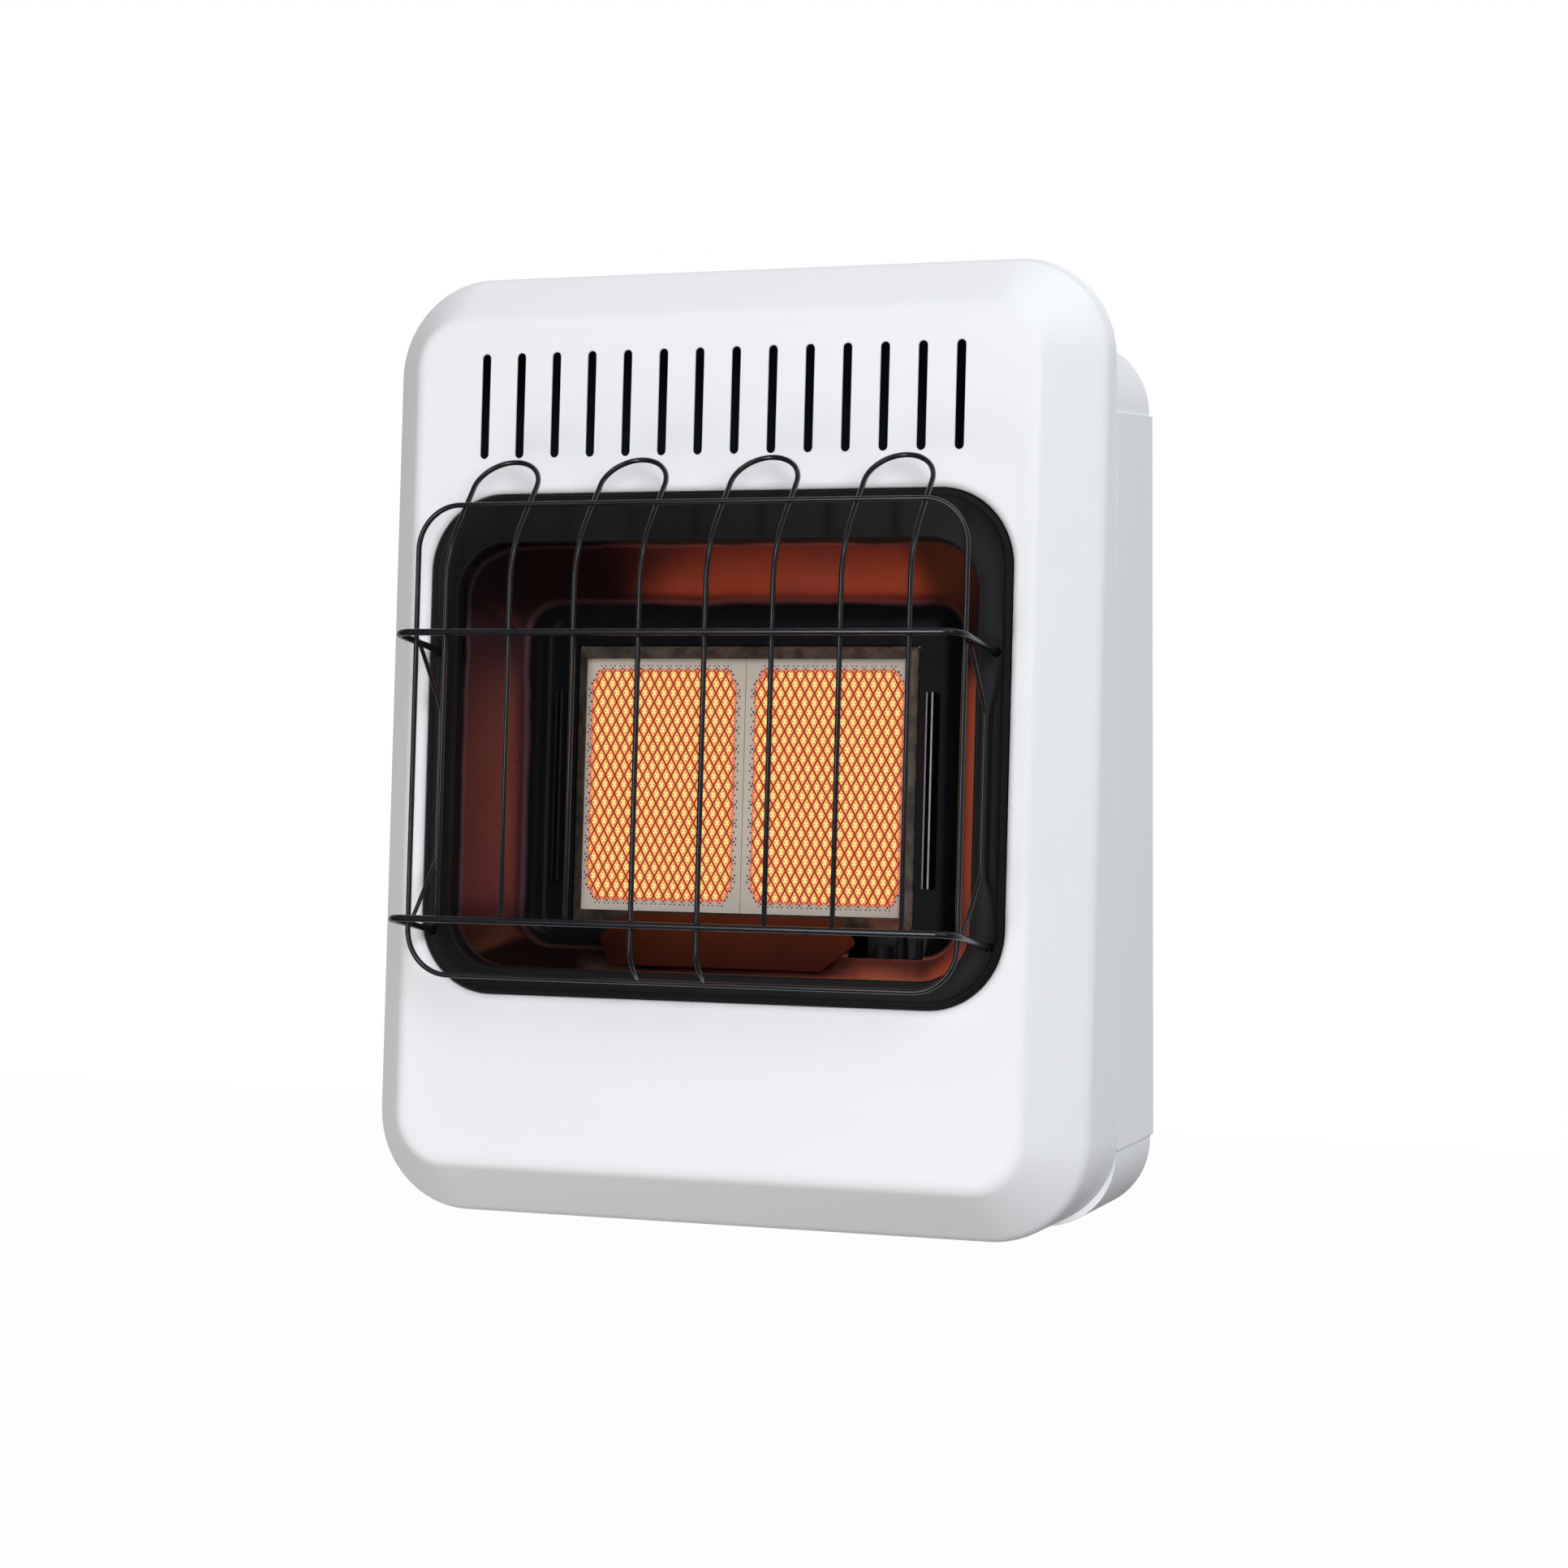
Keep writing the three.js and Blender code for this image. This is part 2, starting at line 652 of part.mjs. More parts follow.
function coverSkin(wall) {
  const roll = lipRadius - wall;
  const rolled = [90, 60, 30, 0].map(degrees => {
    const angle = degrees * Math.PI / 180;
    return openRing(lipRadius - roll * Math.sin(angle), lipRadius - roll * Math.cos(angle));
  });
  const edge = creaseWidth + bevelWidth;
  const [creaseMiddle, creaseEnd] = creaseShares;
  const [edgeOut, edgeBack, edgeEnd] = edgeShares;
  const [creaseIn, creaseDown, bevelIn, bevelDown, edgeIn, edgeDown] = wallShares;
  return [
    openRing(wall, lipDepth),
    ...rolled,
    faceRing(-creaseWidth, wall),
    faceRing(0, wall + creaseWidth * creaseMiddle),
    faceRing(creaseWidth - wall * creaseIn, creaseWidth * creaseEnd + wall * creaseDown),
    faceRing(edge - wall * bevelIn, bevelDepth + wall * bevelDown),
    faceRing(edge + edgeWidth * edgeOut - wall * edgeIn, bevelDepth + edgeDepth * edgeBack + wall * edgeDown),
    faceRing(edge + edgeWidth * edgeEnd - wall, bevelDepth + edgeDepth),
    rimRing(wall),
  ];
}

function frontCover() {
  const shell = ringBand([...coverSkin(0), ...coverSkin(sheet).reverse()]);
  const slots = Array.from({ length: slotCount }, (_, index) => {
    const x = (index - (slotCount - 1) / 2) * slotPitch;
    return flatPlate(slotOutline(x, slotTop, slotLength, slotWidth), [], -overrun, sheet + overrun);
  });
  return cut(shell, ...slots);
}

// Trim ring: black steel ring behind the cover's rolled edge, with a bead round it

const trimFront = lipDepth + seat;
const trimFace = trimFront - trimRise;
const railHole = (side, height) =>
  vec(side * railHoleHalf, trimFace - trimSheet / 2, -height - railDrop);

function trimRing() {
  const back = trimFront + trimSheet;
  const edge = trimFace - trimTilt;
  const ring = ringBand([
    openRing(lipRadius, trimFront),
    openRing(-seat, trimFront),
    ...beadShares.map(([inwards, up]) => openRing(-beadWidth * inwards, trimFace - beadRise * up)),
    ...trimEdgeShares.map(([outwards, up]) => windowRing(beadWidth * outwards, trimFace - trimTilt * up)),
    windowRing(0, edge + beadWidth),
    windowRing(0, trimFace + trimReturn),
    windowRing(trimSheet, trimFace + trimReturn),
    windowRing(trimSheet, edge + trimSheet * 2),
    openRing(-seat - trimSheet, trimFace + trimSheet),
    openRing(-seat - trimSheet, back),
    openRing(lipRadius, back),
  ]);
  const hole = railWire / 2 + railHoleClearance;
  const holes = [-1, 1].flatMap(side => [railUpper, railLower].map(height =>
    cylinder(hole, -lap, lap, smallSides).rotateX(Math.PI / 2)
      .translate(...railHole(side, height).toArray())));
  return cut(ring, ...holes);
}

// Reflector pan: flared walls from the trim ring back to a floor round the burner

const panFront = trimFace + trimSheet + seat;

function floorRing(grow, depth) {
  const outline = roundedOutline(floorHalf + grow, -floorTop + grow, -floorBottom - grow, floorCorner + grow);
  return ringAt(outline, depth);
}

function burnerOutline(half, high) {
  return roundedOutline(half, -burnerMiddle + high, -burnerMiddle - high, seat);
}

const burnerRing = (half, high, depth) => ringAt(burnerOutline(half, high), depth);

function reflectorPan() {
  const mouth = trimSheet + seat;
  const floorBend = floorBendShares.map(([outwards, forward]) =>
    [floorCorner * outwards, floorDepth - floorCorner * forward]);
  const [[highOut, highDepth], [lowOut, lowDepth], [flatOut]] = floorBend;
  const pan = ringBand([
    windowRing(mouth + panFlange, panFront),
    windowRing(mouth, panFront),
    windowRing(mouth, panFront + trimReturn),
    ...floorBend.map(([outwards, depth]) => floorRing(outwards, depth)),
    burnerRing(frameHalf + seat, frameHigh + seat, floorDepth),
    burnerRing(frameHalf + seat, frameHigh + seat, floorDepth + panSheet),
    floorRing(flatOut, floorDepth + panSheet),
    floorRing(lowOut + panSheet, lowDepth + panSheet),
    floorRing(highOut + panSheet, highDepth + panSheet / 2),
    windowRing(mouth + panSheet, panFront + trimReturn + panSheet / 2),
    windowRing(mouth + panSheet, panFront + panSheet),
    windowRing(mouth + panFlange, panFront + panSheet),
  ]);
  const pilotGap = block(pilotX - pilotGapLeft, pilotX + pilotGapRight,
    floorDepth - pilotGapReach, floorDepth + overrun,
    -floorBottom - pilotGapReach / 2, -frameBottom);
  return cut(pan, pilotGap);
}

function sideStrip(side) {
  const front = floorDepth - seat - stripDepth;
  const outline = [[-stripWidth / 2, front], [-stripWidth / 4, front - stripWidth / 4],
    [stripWidth / 4, front - stripWidth / 4], [stripWidth / 2, front],
    [stripWidth / 2, floorDepth - seat], [-stripWidth / 2, floorDepth - seat]];
  return levelPlate(outline, -stripBottom, -stripTop).translate(side * (frameHalf + stripGap), 0, 0);
}

// Burner: pressed frame, two perforated ceramic tiles, gasket and gas box

function burnerFrame() {
  const lip = tileDepth - seat - frameDrop * (lipOverTile + seat) / frameSlope;
  const slopeBack = lip + frameDrop;
  const frame = ringBand([
    burnerRing(frameLipHalf, frameLipHigh, lip - frameSheet),
    burnerRing(frameHalf, frameHigh, slopeBack - frameSheet),
    burnerRing(frameHalf, frameHigh, slopeBack + frameSkirt),
    burnerRing(frameHalf - frameSheet, frameHigh - frameSheet, slopeBack + frameSkirt),
    burnerRing(frameHalf - frameSheet, frameHigh - frameSheet, slopeBack),
    burnerRing(frameLipHalf, frameLipHigh, lip),
  ]);
  const notches = [-1, 1].flatMap(side => [-1, 1].map(end =>
    block(-notchSize / 2, notchSize / 2, lip - overrun, slopeBack + frameSheet, -notchSize / 2, notchSize / 2)
      .rotateY(Math.PI / 4)
      .translate(side * frameHalf, 0, -burnerMiddle + end * frameHigh)));
  return cut(frame, ...notches);
}

function ceramicTile(side) {
  const [low, high] = [-burnerMiddle - tileHeight / 2, -burnerMiddle + tileHeight / 2];
  const inner = tileSeam / 2;
  const [x0, x1] = side > 0 ? [inner, tilesHalf] : [-tilesHalf, -inner];
  return block(x0, x1, tileDepth, tileDepth + tileThick, low, high);
}

const gasketFront = tileDepth + tileThick + seat;
const boxFront = gasketFront + gasketThick + seat;
const boxHalf = frameHalf - frameSheet - seat;
const boxHigh = frameHigh - frameSheet - seat;
const boxBack = boxFront + boxDepth;

function tileGasket() {
  return flatPlate(burnerOutline(tilesHalf, tileHeight / 2),
    [burnerOutline(tilesHalf - gasketWidth, tileHeight / 2 - gasketWidth)],
    gasketFront, gasketFront + gasketThick);
}

function burnerBox() {
  const ledge = gasketWidth + overrun;
  const outer = block(-boxHalf, boxHalf, boxFront, boxBack, -burnerMiddle - boxHigh, -burnerMiddle + boxHigh);
  const hollow = block(sheet - boxHalf, boxHalf - sheet, boxFront + sheet, boxBack - sheet,
    sheet - burnerMiddle - boxHigh, -sheet - burnerMiddle + boxHigh);
  const mouth = block(ledge - boxHalf, boxHalf - ledge, boxFront - overrun, boxFront + lap,
    ledge - burnerMiddle - boxHigh, -ledge - burnerMiddle + boxHigh);
  const inlet = cylinder(venturiRadius + seat, boxHalf - lap, boxHalf + lap).rotateY(Math.PI / 2)
    .translate(0, venturiDepth, -venturiHeight);
  return cut(outer, hollow, mouth, inlet);
}

function burnerBracket(side) {
  const plateBack = chassisPlate().back + seat;
  const inner = frameHalf + seat;
  const reach = chassisHoleHalf + burnerBracketWidth;
  const outline = [[inner, plateBack], [reach, plateBack], [reach, plateBack + sheet],
    [inner + sheet, plateBack + sheet], [inner + sheet, plateBack + burnerBracketWidth],
    [inner, plateBack + burnerBracketWidth]];
  const bracket = levelPlate(outline, -burnerBracketBottom, -burnerBracketTop);
  if (side > 0) return bracket;
  return toGeometry(toSolid(bracket).mirror([1, 0, 0]));
}

function lowerDeflector() {
  const share = deflectorBendShare;
  const top = frameBottom - deflectorLap;
  const depthAt = part => floorDepth - deflectorStand - deflectorReach * part;
  const heightAt = part => -top - deflectorHeight * part;
  const row = (part, half) => [-half, half].map(x => vec(x, depthAt(part), heightAt(part)));
  const front = [row(0, deflectorTopHalf), row(share, deflectorWideHalf), row(1, deflectorLowHalf)];
  const outline = [front[0][0], front[0][1], front[1][1], front[2][1], front[2][0], front[1][0]];
  const thick = vec(0, deflectorReach, deflectorHeight).normalize();
  const normal = vec(0, -thick.z, thick.y).multiplyScalar(-panSheet);
  const back = outline.map(point => point.clone().add(normal));
  const places = [...outline, ...back].flatMap(point => point.toArray());
  const count = outline.length;
  const faces = [];
  outline.slice(2).forEach((_, index) => {
    faces.push(0, index + 1, index + 2, count, count + index + 2, count + index + 1);
  });
  outline.forEach((_, index) => {
    const next = (index + 1) % count;
    faces.push(next, index, count + index, next, count + index, count + next);
  });
  const footTop = top + deflectorFootDrop;
  const footFront = depthAt(deflectorFootDrop / deflectorHeight) + panSheet / 4;
  const feet = [-1, 1].map(side => {
    const x = side * deflectorFootSpacing / 2;
    return block(x - deflectorFootWidth / 2, x + deflectorFootWidth / 2, footFront, floorDepth - seat,
      -footTop - panSheet, -footTop);
  });
  return join(facingOut(places, faces), ...feet);
}

// Guard: bent wires that hang in four holes of the trim ring

function guardLoop() {
  const outline = roundedOutline(loopHalf, -loopTop, -loopBottom, loopCorner);
  const centres = ringAt(outline, -loopStand);
  const count = centres.length;
  const rings = centres.map((centre, index) => {
    const before = centres[(index + count - 1) % count];
    const after = centres[(index + 1) % count];
    const [arriving, leaving] = [centre.clone().sub(before), after.clone().sub(centre)];
    const along = arriving.normalize().add(leaving.normalize()).normalize();
    const outward = along.clone().cross(vec(0, 1, 0)).normalize();
    return Array.from({ length: wireSides }, (_, side) => {
      const angle = (side + 0.5) * 2 * Math.PI / wireSides;
      return centre.clone().addScaledVector(outward, Math.cos(angle) * wire / 2)
        .addScaledVector(vec(0, 1, 0), Math.sin(angle) * wire / 2);
    });
  });
  return ringBand(rings);
}

const railStand = hoopStand + wire / 2 + seat + railWire / 2;

function guardRail(height) {
  const turn = side => vec(side * railHoleHalf, -railStand, -height);
  const end = side => {
    const hole = railHole(side, height);
    return hole.clone().addScaledVector(hole.clone().sub(turn(side)).normalize(), railEnd);
  };
  return bentWire([end(-1), turn(-1), turn(1), end(1)], railWire, railBend);
}

function guardHoop(index) {
  const middle = (index - (hoopCount - 1) / 2) * 2 * hoopPitch;
  const radius = hoopPitch / 2;
  const rise = vec(0, hoopStand - hoopTopStand, hoopTopRise + hoopBend).normalize();
  const top = vec(middle, -hoopTopStand, hoopTopRise);
  const arcMiddle = top.clone().addScaledVector(rise, -radius);
  const arc = Array.from({ length: 2 * cornerSteps + 1 }, (_, step) => {
    const angle = Math.PI * (1 - step / (2 * cornerSteps));
    return arcMiddle.clone().add(vec(radius * Math.cos(angle), 0, 0))
      .addScaledVector(rise, radius * Math.sin(angle));
  });
  const leg = side => {
    const x = middle + side * radius;
    const long = Math.abs(x) < hoopPitch;
    const bend = vec(x, -hoopStand, -hoopBend);
    if (!long) return [bend, vec(x, -hoopStand, -railLower - railWire / 2)];
    return [bend, vec(x, -hoopStand, -legBottomBend),
      vec(x, -loopStand - wire, -loopBottom + wire / 2)];
  };
  const ends = side => {
    const path = new BentWire([arc[side < 0 ? 0 : arc.length - 1], ...leg(side)], hoopBendRadius);
    return path.places.slice(1);
  };
  const path = new BentWire([arc[0], arc[1]], hoopBendRadius);
  path.places = [...ends(-1).reverse(), ...arc, ...ends(1)];
  return wireAlong(path, wire);
}

function guardSide(side) {
  const x = side * (railHoleHalf - railWire / 2 - seat - sideWire / 2);
  const stand = loopStand - wire / 2 - seat - sideWire;
  const drop = railDrop * sideFallShare;
  return bentWire([vec(x, -stand, -railUpper - drop),
    vec(x, -sideMiddleStand, -railUpper - drop - sideSlant),
    vec(x, -sideMiddleStand, -railLower - drop + sideSlant),
    vec(x, -stand, -railLower - drop)], sideWire, hoopBendRadius);
}

// Heat shield behind the burner box

function heatShield() {
  const back = rearFront - seat;
  const face = toRoom(0, boxBack, boxHigh - burnerMiddle).y + shieldGap;
  const outline = [[-shieldHalf - lap, back - panSheet], [-shieldHalf, back - panSheet], [-shieldHalf, face],
    [shieldHalf, face], [shieldHalf, back - panSheet], [shieldHalf + lap, back - panSheet],
    [shieldHalf + lap, back], [shieldHalf - panSheet, back], [shieldHalf - panSheet, face + panSheet],
    [panSheet - shieldHalf, face + panSheet], [panSheet - shieldHalf, back], [-shieldHalf - lap, back]];
  return levelPlate(outline, -shieldBottom, -shieldTop);
}

// Gas train

const valveLow = valveTop - valveHeight;
const place = (geometry, x, y, z) => geometry.translate(x, y, z);

function gasValve() {
  const body = block(valveX - valveWidth / 2, valveX + valveWidth / 2,
    -controlY - valveThick / 2, -controlY + valveThick / 2, valveLow, valveTop);
  const ports = [[valveX + valveWidth / 4, -controlY + valveThick / 4, supplyTube],
    [valveX - valveWidth / 4, -controlY - valveThick / 4, burnerTube]].map(([x, y, bore]) =>
    place(cylinder(bore * unionShare, valveLow - bore, valveLow + seat, smallSides), x, y, 0));
  const well = place(cylinder(collarRadius + seat, valveTop - lap, valveTop + lap), valveX, -controlY, 0);
  return cut(join(body, ...ports), well);
}

function valveBonnet() {
  const low = valveTop + seat;
  const high = caseTop - sheet - seat;
  const collarRoom = collarHeight + knobTravel + springWire * (springTurns + 1);
  return place(turned([[collarRadius + seat, low], [bonnetRadius, low], [bonnetRadius, high],
    [stemRadius + seat, high], [stemRadius + seat, low + collarRoom], [collarRadius + seat, low + collarRoom],
    [collarRadius + seat, low]]), valveX, -controlY, 0);
}

const collarLow = valveTop + seat + springWire * springTurns + knobTravel / 2;

function stemCollar() {
  return place(tube(stemRadius + seat, collarRadius, collarLow, collarLow + collarHeight, smallSides * 2),
    valveX, -controlY, 0);
}

function stemSpring() {
  const radius = stemRadius + seat + springWire;
  const low = valveTop - lap + seat + springWire / 2;
  const high = collarLow - seat - springWire / 2;
  const steps = springTurns * smallSides;
  const path = new BentWire([vec(0, 0, low), vec(0, 0, high)], springWire);
  path.places = Array.from({ length: steps + 1 }, (_, step) => {
    const angle = step / smallSides * 2 * Math.PI;
    return vec(radius * Math.cos(angle), radius * Math.sin(angle), low + (high - low) * step / steps);
  });
  return place(wireAlong(path, springWire, springSides), valveX, -controlY, 0);
}

const knobLow = caseTop + dialSheet + seat + knobTravel + seat;
const knobHigh = knobLow + knobHeight;

function valveStem() {
  const low = valveTop - lap + seat + knobTravel;
  const shoulder = collarLow + collarHeight + seat;
  const high = knobLow + knobSocketDepth - seat;
  return place(turned([[0, low], [stemRadius - seat, low], [stemRadius - seat, shoulder],
    [stemRadius - seat / 2, shoulder], [stemRadius - seat / 2, high], [0, high]], smallSides * 2),
  valveX, -controlY, 0);
}

function controlKnob() {
  const skirt = knobRadius * knobShares.step;
  const grip = knobRadius * knobShares.grip;
  const base = turned([[0, knobLow + knobWall], [stemRadius + knobWall, knobLow + knobWall],
    [stemRadius + knobWall, knobLow], [knobRadius, knobLow], [knobRadius, knobLow + skirt * 2],
    [grip, knobLow + skirt * 3], [grip * knobShares.top, knobHigh - skirt],
    [grip * knobShares.dome, knobHigh], [0, knobHigh]]);
  const socket = cylinder(stemRadius, knobLow - overrun, knobLow + knobSocketDepth, smallSides * 2);
  const flutes = Array.from({ length: fluteCount }, (_, index) => {
    const angle = index * 2 * Math.PI / fluteCount;
    const out = grip * knobShares.flutePlace;
    return cylinder(knobRadius * knobShares.flute, knobLow + skirt * 3, knobHigh + overrun, wireSides)
      .translate(out * Math.cos(angle), out * Math.sin(angle), 0);
  });
  const pointer = block(-skirt / 3, skirt / 3, -grip * knobShares.pointerEnd, -grip * knobShares.pointerStart,
    knobHigh - skirt / 2, knobHigh + overrun);
  return cut(base, socket, ...flutes, pointer);
}

function dialPlate() {
  const low = caseTop + seat;
  return place(tube(stemRadius + overrun, dialRadius, low, low + dialSheet), valveX, -controlY, 0);
}

// Igniter: a body under the case's top, its nut above, and the button in it

function igniterBodyPiece() {
  const neck = caseTop + seat + igniterNutHeight;
  const socket = caseTop - buttonTravel - overrun;
  const low = caseTop - sheet - seat - igniterBody;
  const wide = igniterRadius + overrun;
  return turned([[0, low], [igniterRadius, low], [wide, low + lap], [wide, caseTop - sheet - seat],
    [igniterRadius, caseTop - sheet - seat], [igniterRadius, neck], [buttonRadius + seat, neck],
    [buttonRadius + seat, socket], [0, socket]]);
}

function igniterNutPiece() {
  const low = caseTop + seat;
  return cut(cylinder(igniterNut, low, low + igniterNutHeight, nutSides),
    cylinder(igniterRadius + seat, low - overrun, low + igniterNutHeight + overrun));
}

function igniterButton() {
  const low = caseTop - overrun + seat;
  const high = caseTop + igniterNutHeight + buttonRise;
  return turned([[0, low], [buttonRadius, low], [buttonRadius, high - buttonChamfer],
    [buttonRadius - buttonChamfer, high], [0, high]]);
}

// Regulator and inlet

function regulator() {
  const high = -regulatorBottom + regulatorHeight;
  const outletX = supplyX - inletX;
  const drum = turned([[0, -regulatorBottom], [regulatorRadius, -regulatorBottom],
    [regulatorRadius, high - lap], [regulatorRadius * drumTopShare, high], [0, high]]);
  const neck = cylinder(inletRadius, -caseBottom + sheet + seat + lap, -regulatorBottom + seat);
  const half = supplyTube * elbowShare;
  const elbow = block(0, outletX, -half, half, -regulatorBottom + lap, -regulatorBottom + lap + 2 * half);
  const outlet = place(cylinder(half, -regulatorBottom + lap, high, smallSides), outletX, 0, 0);
  return place(join(drum, neck, elbow, outlet), inletX, -supplyY, 0);
}

function regulatorCap() {
  const low = -regulatorBottom + regulatorHeight + seat;
  const [foot, top] = capShares;
  return place(turned([[0, low], [capRadius * foot, low], [capRadius, low + capHeight / 2],
    [capRadius * top, low + capHeight], [0, low + capHeight]]), inletX, -supplyY, 0);
}

function inletFitting() {
  const low = -caseBottom;
  const high = -caseBottom + sheet + lap;
  return turned([[inletBore, low], [inletRadius, low], [inletRadius, low + sheet + seat],
    [inletFlange, low + sheet + seat], [inletFlange, high - seat - sheet], [inletRadius, high],
    [inletBore, high], [inletBore, low]]);
}

function supplyPipe() {
  const x = valveX + valveWidth / 4;
  const y = -controlY + valveThick / 4;
  const low = -regulatorBottom + regulatorHeight + seat;
  const top = valveLow - supplyTube - seat;
  const step = top - supplyTube * 2;
  return bentWire([vec(x, y, top), vec(x, y, step), vec(supplyX, -supplyY, step - supplyTube),
    vec(supplyX, -supplyY, low)], supplyTube, supplyTube, smallSides);
}

const venturiAxis = toRoom(0, venturiDepth, -venturiHeight);
const mixerEnd = panelInner - injectorSideGap - injectorLength;

// Mixer tube from the box's side, with its air windows and the injector in its end

function mixerTube() {
  const low = boxHalf - sheet;
  const high = mixerEnd;
  const bore = venturiRadius - venturiWall;
  const body = turned([[bore, low], [venturiRadius, low], [venturiRadius, high],
    [injectorRadius + seat, high], [injectorRadius + seat, high - venturiWall], [bore, high - venturiWall],
    [bore, low]]);
  const window = block(-airWindow / 2, airWindow / 2, -2 * venturiRadius, 2 * venturiRadius,
    ...airWindowShares.map(share => low + (high - low) * share));
  return cut(body, window).rotateY(Math.PI / 2).translate(0, venturiAxis.y, venturiAxis.z);
}

function injector() {
  const x = mixerEnd;
  const nozzle = turned([[0, x - lap], [injectorRadius, x - lap], [injectorRadius, x + seat],
    [injectorHead, x + seat], [injectorHead, x + injectorLength], [0, x + injectorLength]])
    .rotateY(Math.PI / 2);
  const boss = cylinder(injectorHead * bossShare, 0, injectorHead + lap, smallSides)
    .translate(x + injectorLength / 2, 0, 0);
  return join(nozzle, boss).translate(0, venturiAxis.y, venturiAxis.z);
}

function burnerPipe() {
  const x = valveX - valveWidth / 4;
  const y = -controlY - valveThick / 4;
  const endX = mixerEnd + injectorLength / 2;
  const top = valveLow - burnerTube - seat;
  const step = top - supplyTube * 2 - burnerTube * 2;
  return bentWire([vec(x, y, top), vec(x, y, step), vec(endX, venturiAxis.y, step - burnerTube * 3),
    vec(endX, venturiAxis.y, venturiAxis.z + injectorHead + lap + seat)], burnerTube, burnerTube);
}

// Pilot: bracket under the burner frame with its burner, thermocouple and electrode

const pilotPlate = pilotDepth + pilotRadius + seat;
const pilotHang = -frameBottom - seat;

function pilotBracket() {
  const [left, right] = [pilotX - pilotSpacing, pilotX + 3 * pilotSpacing];
  const foot = -pilotFoot;
  return join(
    block(left, right, pilotPlate, pilotPlate + sheet, foot, pilotHang),
    block(left, right, pilotPlate, pilotPlate + frameSkirt * bracketFootShare, pilotHang - sheet, pilotHang));
}

function pilotBurner() {
  return place(turned([[0, -pilotFoot], [pilotRadius, -pilotFoot], [pilotRadius, -pilotTip],
    [pilotRadius * tipShares.jet, -pilotTip], [pilotRadius * tipShares.jet, -pilotTip - lap],
    [0, -pilotTip - lap]], smallSides),
  pilotX, pilotDepth, 0);
}

function thermocouple() {
  return place(turned([[0, -pilotFoot], [probeRadius, -pilotFoot], [probeRadius, -pilotTip],
    [probeRadius * tipShares.probe, -pilotTip + lap], [0, -pilotTip + lap]], smallSides),
  pilotX + pilotSpacing, pilotPlate - seat - probeRadius, 0);
}

function sparkElectrode() {
  const pin = -pilotTip + lap * tipShares.pin;
  return place(turned([[0, -pilotFoot], [electrodeRadius, -pilotFoot], [electrodeRadius, -pilotTip - lap],
    [pinRadius, -pilotTip - lap], [pinRadius, pin], [0, pin]], smallSides),
  pilotX + 2 * pilotSpacing, pilotPlate - seat - electrodeRadius, 0);
}

// Thin lines of the pilot, all in one bundle down the right side of the case
function bundleLine(start, startSide, order, footX, footDepth, diameter) {
  const foot = toRoom(footX, footDepth, -pilotFoot - 2 * seat);
  const x = supplyX + supplyTube / 2 + leadPitch * order * leadShares.across;
  const y = caseFront + leadPitch * (leadShares.from + leadShares.back * order);
  const under = foot.z - lap - leadPitch * order;
  const beside = start.clone().add(startSide);
  return bentWire([start, beside, vec(beside.x, y, beside.z), vec(x, y, beside.z),
    vec(x, y, under), vec(foot.x, y, under), vec(foot.x, foot.y, under), foot], diameter, lap / 2);
}

function rearScrew(x, z) {
  const [rim, dome] = screwShares;
  const head = turned([[0, 0], [screwRadius, 0], [screwRadius, screwHead * rim],
    [screwRadius * dome, screwHead], [0, screwHead]], smallSides);
  return head.rotateX(-Math.PI / 2).translate(x, rearBack + seat, z);
}

// The assembly

const chassis = chassisPlate();

piece('wall_bracket', wallBracket(), zincSteel);
piece('case_top', caseTopPiece(), whitePaint);
piece('case_bottom', caseBottomPiece(), whitePaint);
piece('side_panel_left', sidePanel(-1), whitePaint);
piece('side_panel_right', sidePanel(1), whitePaint);
piece('rear_panel', rearPanel(), zincSteel);
piece('chassis_plate', flatPlate(chassis.outline, [chassis.hole], chassis.front, chassis.back), zincSteel);
piece('front_cover', frontCover(), whitePaint, front);
piece('trim_ring', trimRing(), blackPaint, front);
piece('reflector_pan', reflectorPan(), heatedSteel, front);
piece('burner_strip_left', sideStrip(-1), burnerSteel, front);
piece('burner_strip_right', sideStrip(1), burnerSteel, front);
piece('burner_frame', burnerFrame(), burnerSteel, front);
piece('ceramic_tile_left', ceramicTile(-1), ceramic, front);
piece('ceramic_tile_right', ceramicTile(1), ceramic, front);
piece('tile_gasket', tileGasket(), fibre, front);
piece('burner_box', burnerBox(), zincSteel, front);
piece('burner_bracket_left', burnerBracket(-1), zincSteel);
piece('burner_bracket_right', burnerBracket(1), zincSteel);
piece('lower_deflector', lowerDeflector(), heatedSteel, front);
piece('guard_loop', guardLoop(), blackWire, front);
piece('guard_rail_upper', guardRail(railUpper), blackWire, front);
piece('guard_rail_lower', guardRail(railLower), blackWire, front);
for (let index = 0; index < hoopCount; index += 1) {
  piece(`guard_hoop_${index + 1}`, guardHoop(index), blackWire, front);
}
piece('guard_side_left', guardSide(-1), blackWire, front);
piece('guard_side_right', guardSide(1), blackWire, front);
piece('heat_shield', heatShield(), zincSteel);
piece('gas_valve', gasValve(), aluminium);
piece('valve_bonnet', valveBonnet(), brass);
piece('stem_collar', stemCollar(), brass);
piece('stem_spring', stemSpring(), springSteel);
piece('valve_stem', valveStem(), brass);
piece('control_knob', controlKnob(), blackPlastic).position.set(valveX, -controlY, 0);
piece('dial_plate', dialPlate(), aluminium);
piece('igniter_body', igniterBodyPiece(), blackPlastic).position.set(igniterX, -controlY, 0);
piece('igniter_nut', igniterNutPiece(), aluminium).position.set(igniterX, -controlY, 0);
piece('igniter_button', igniterButton(), blackPlastic).position.set(igniterX, -controlY, 0);
piece('inlet_fitting', inletFitting(), brass).position.set(inletX, -supplyY, 0);
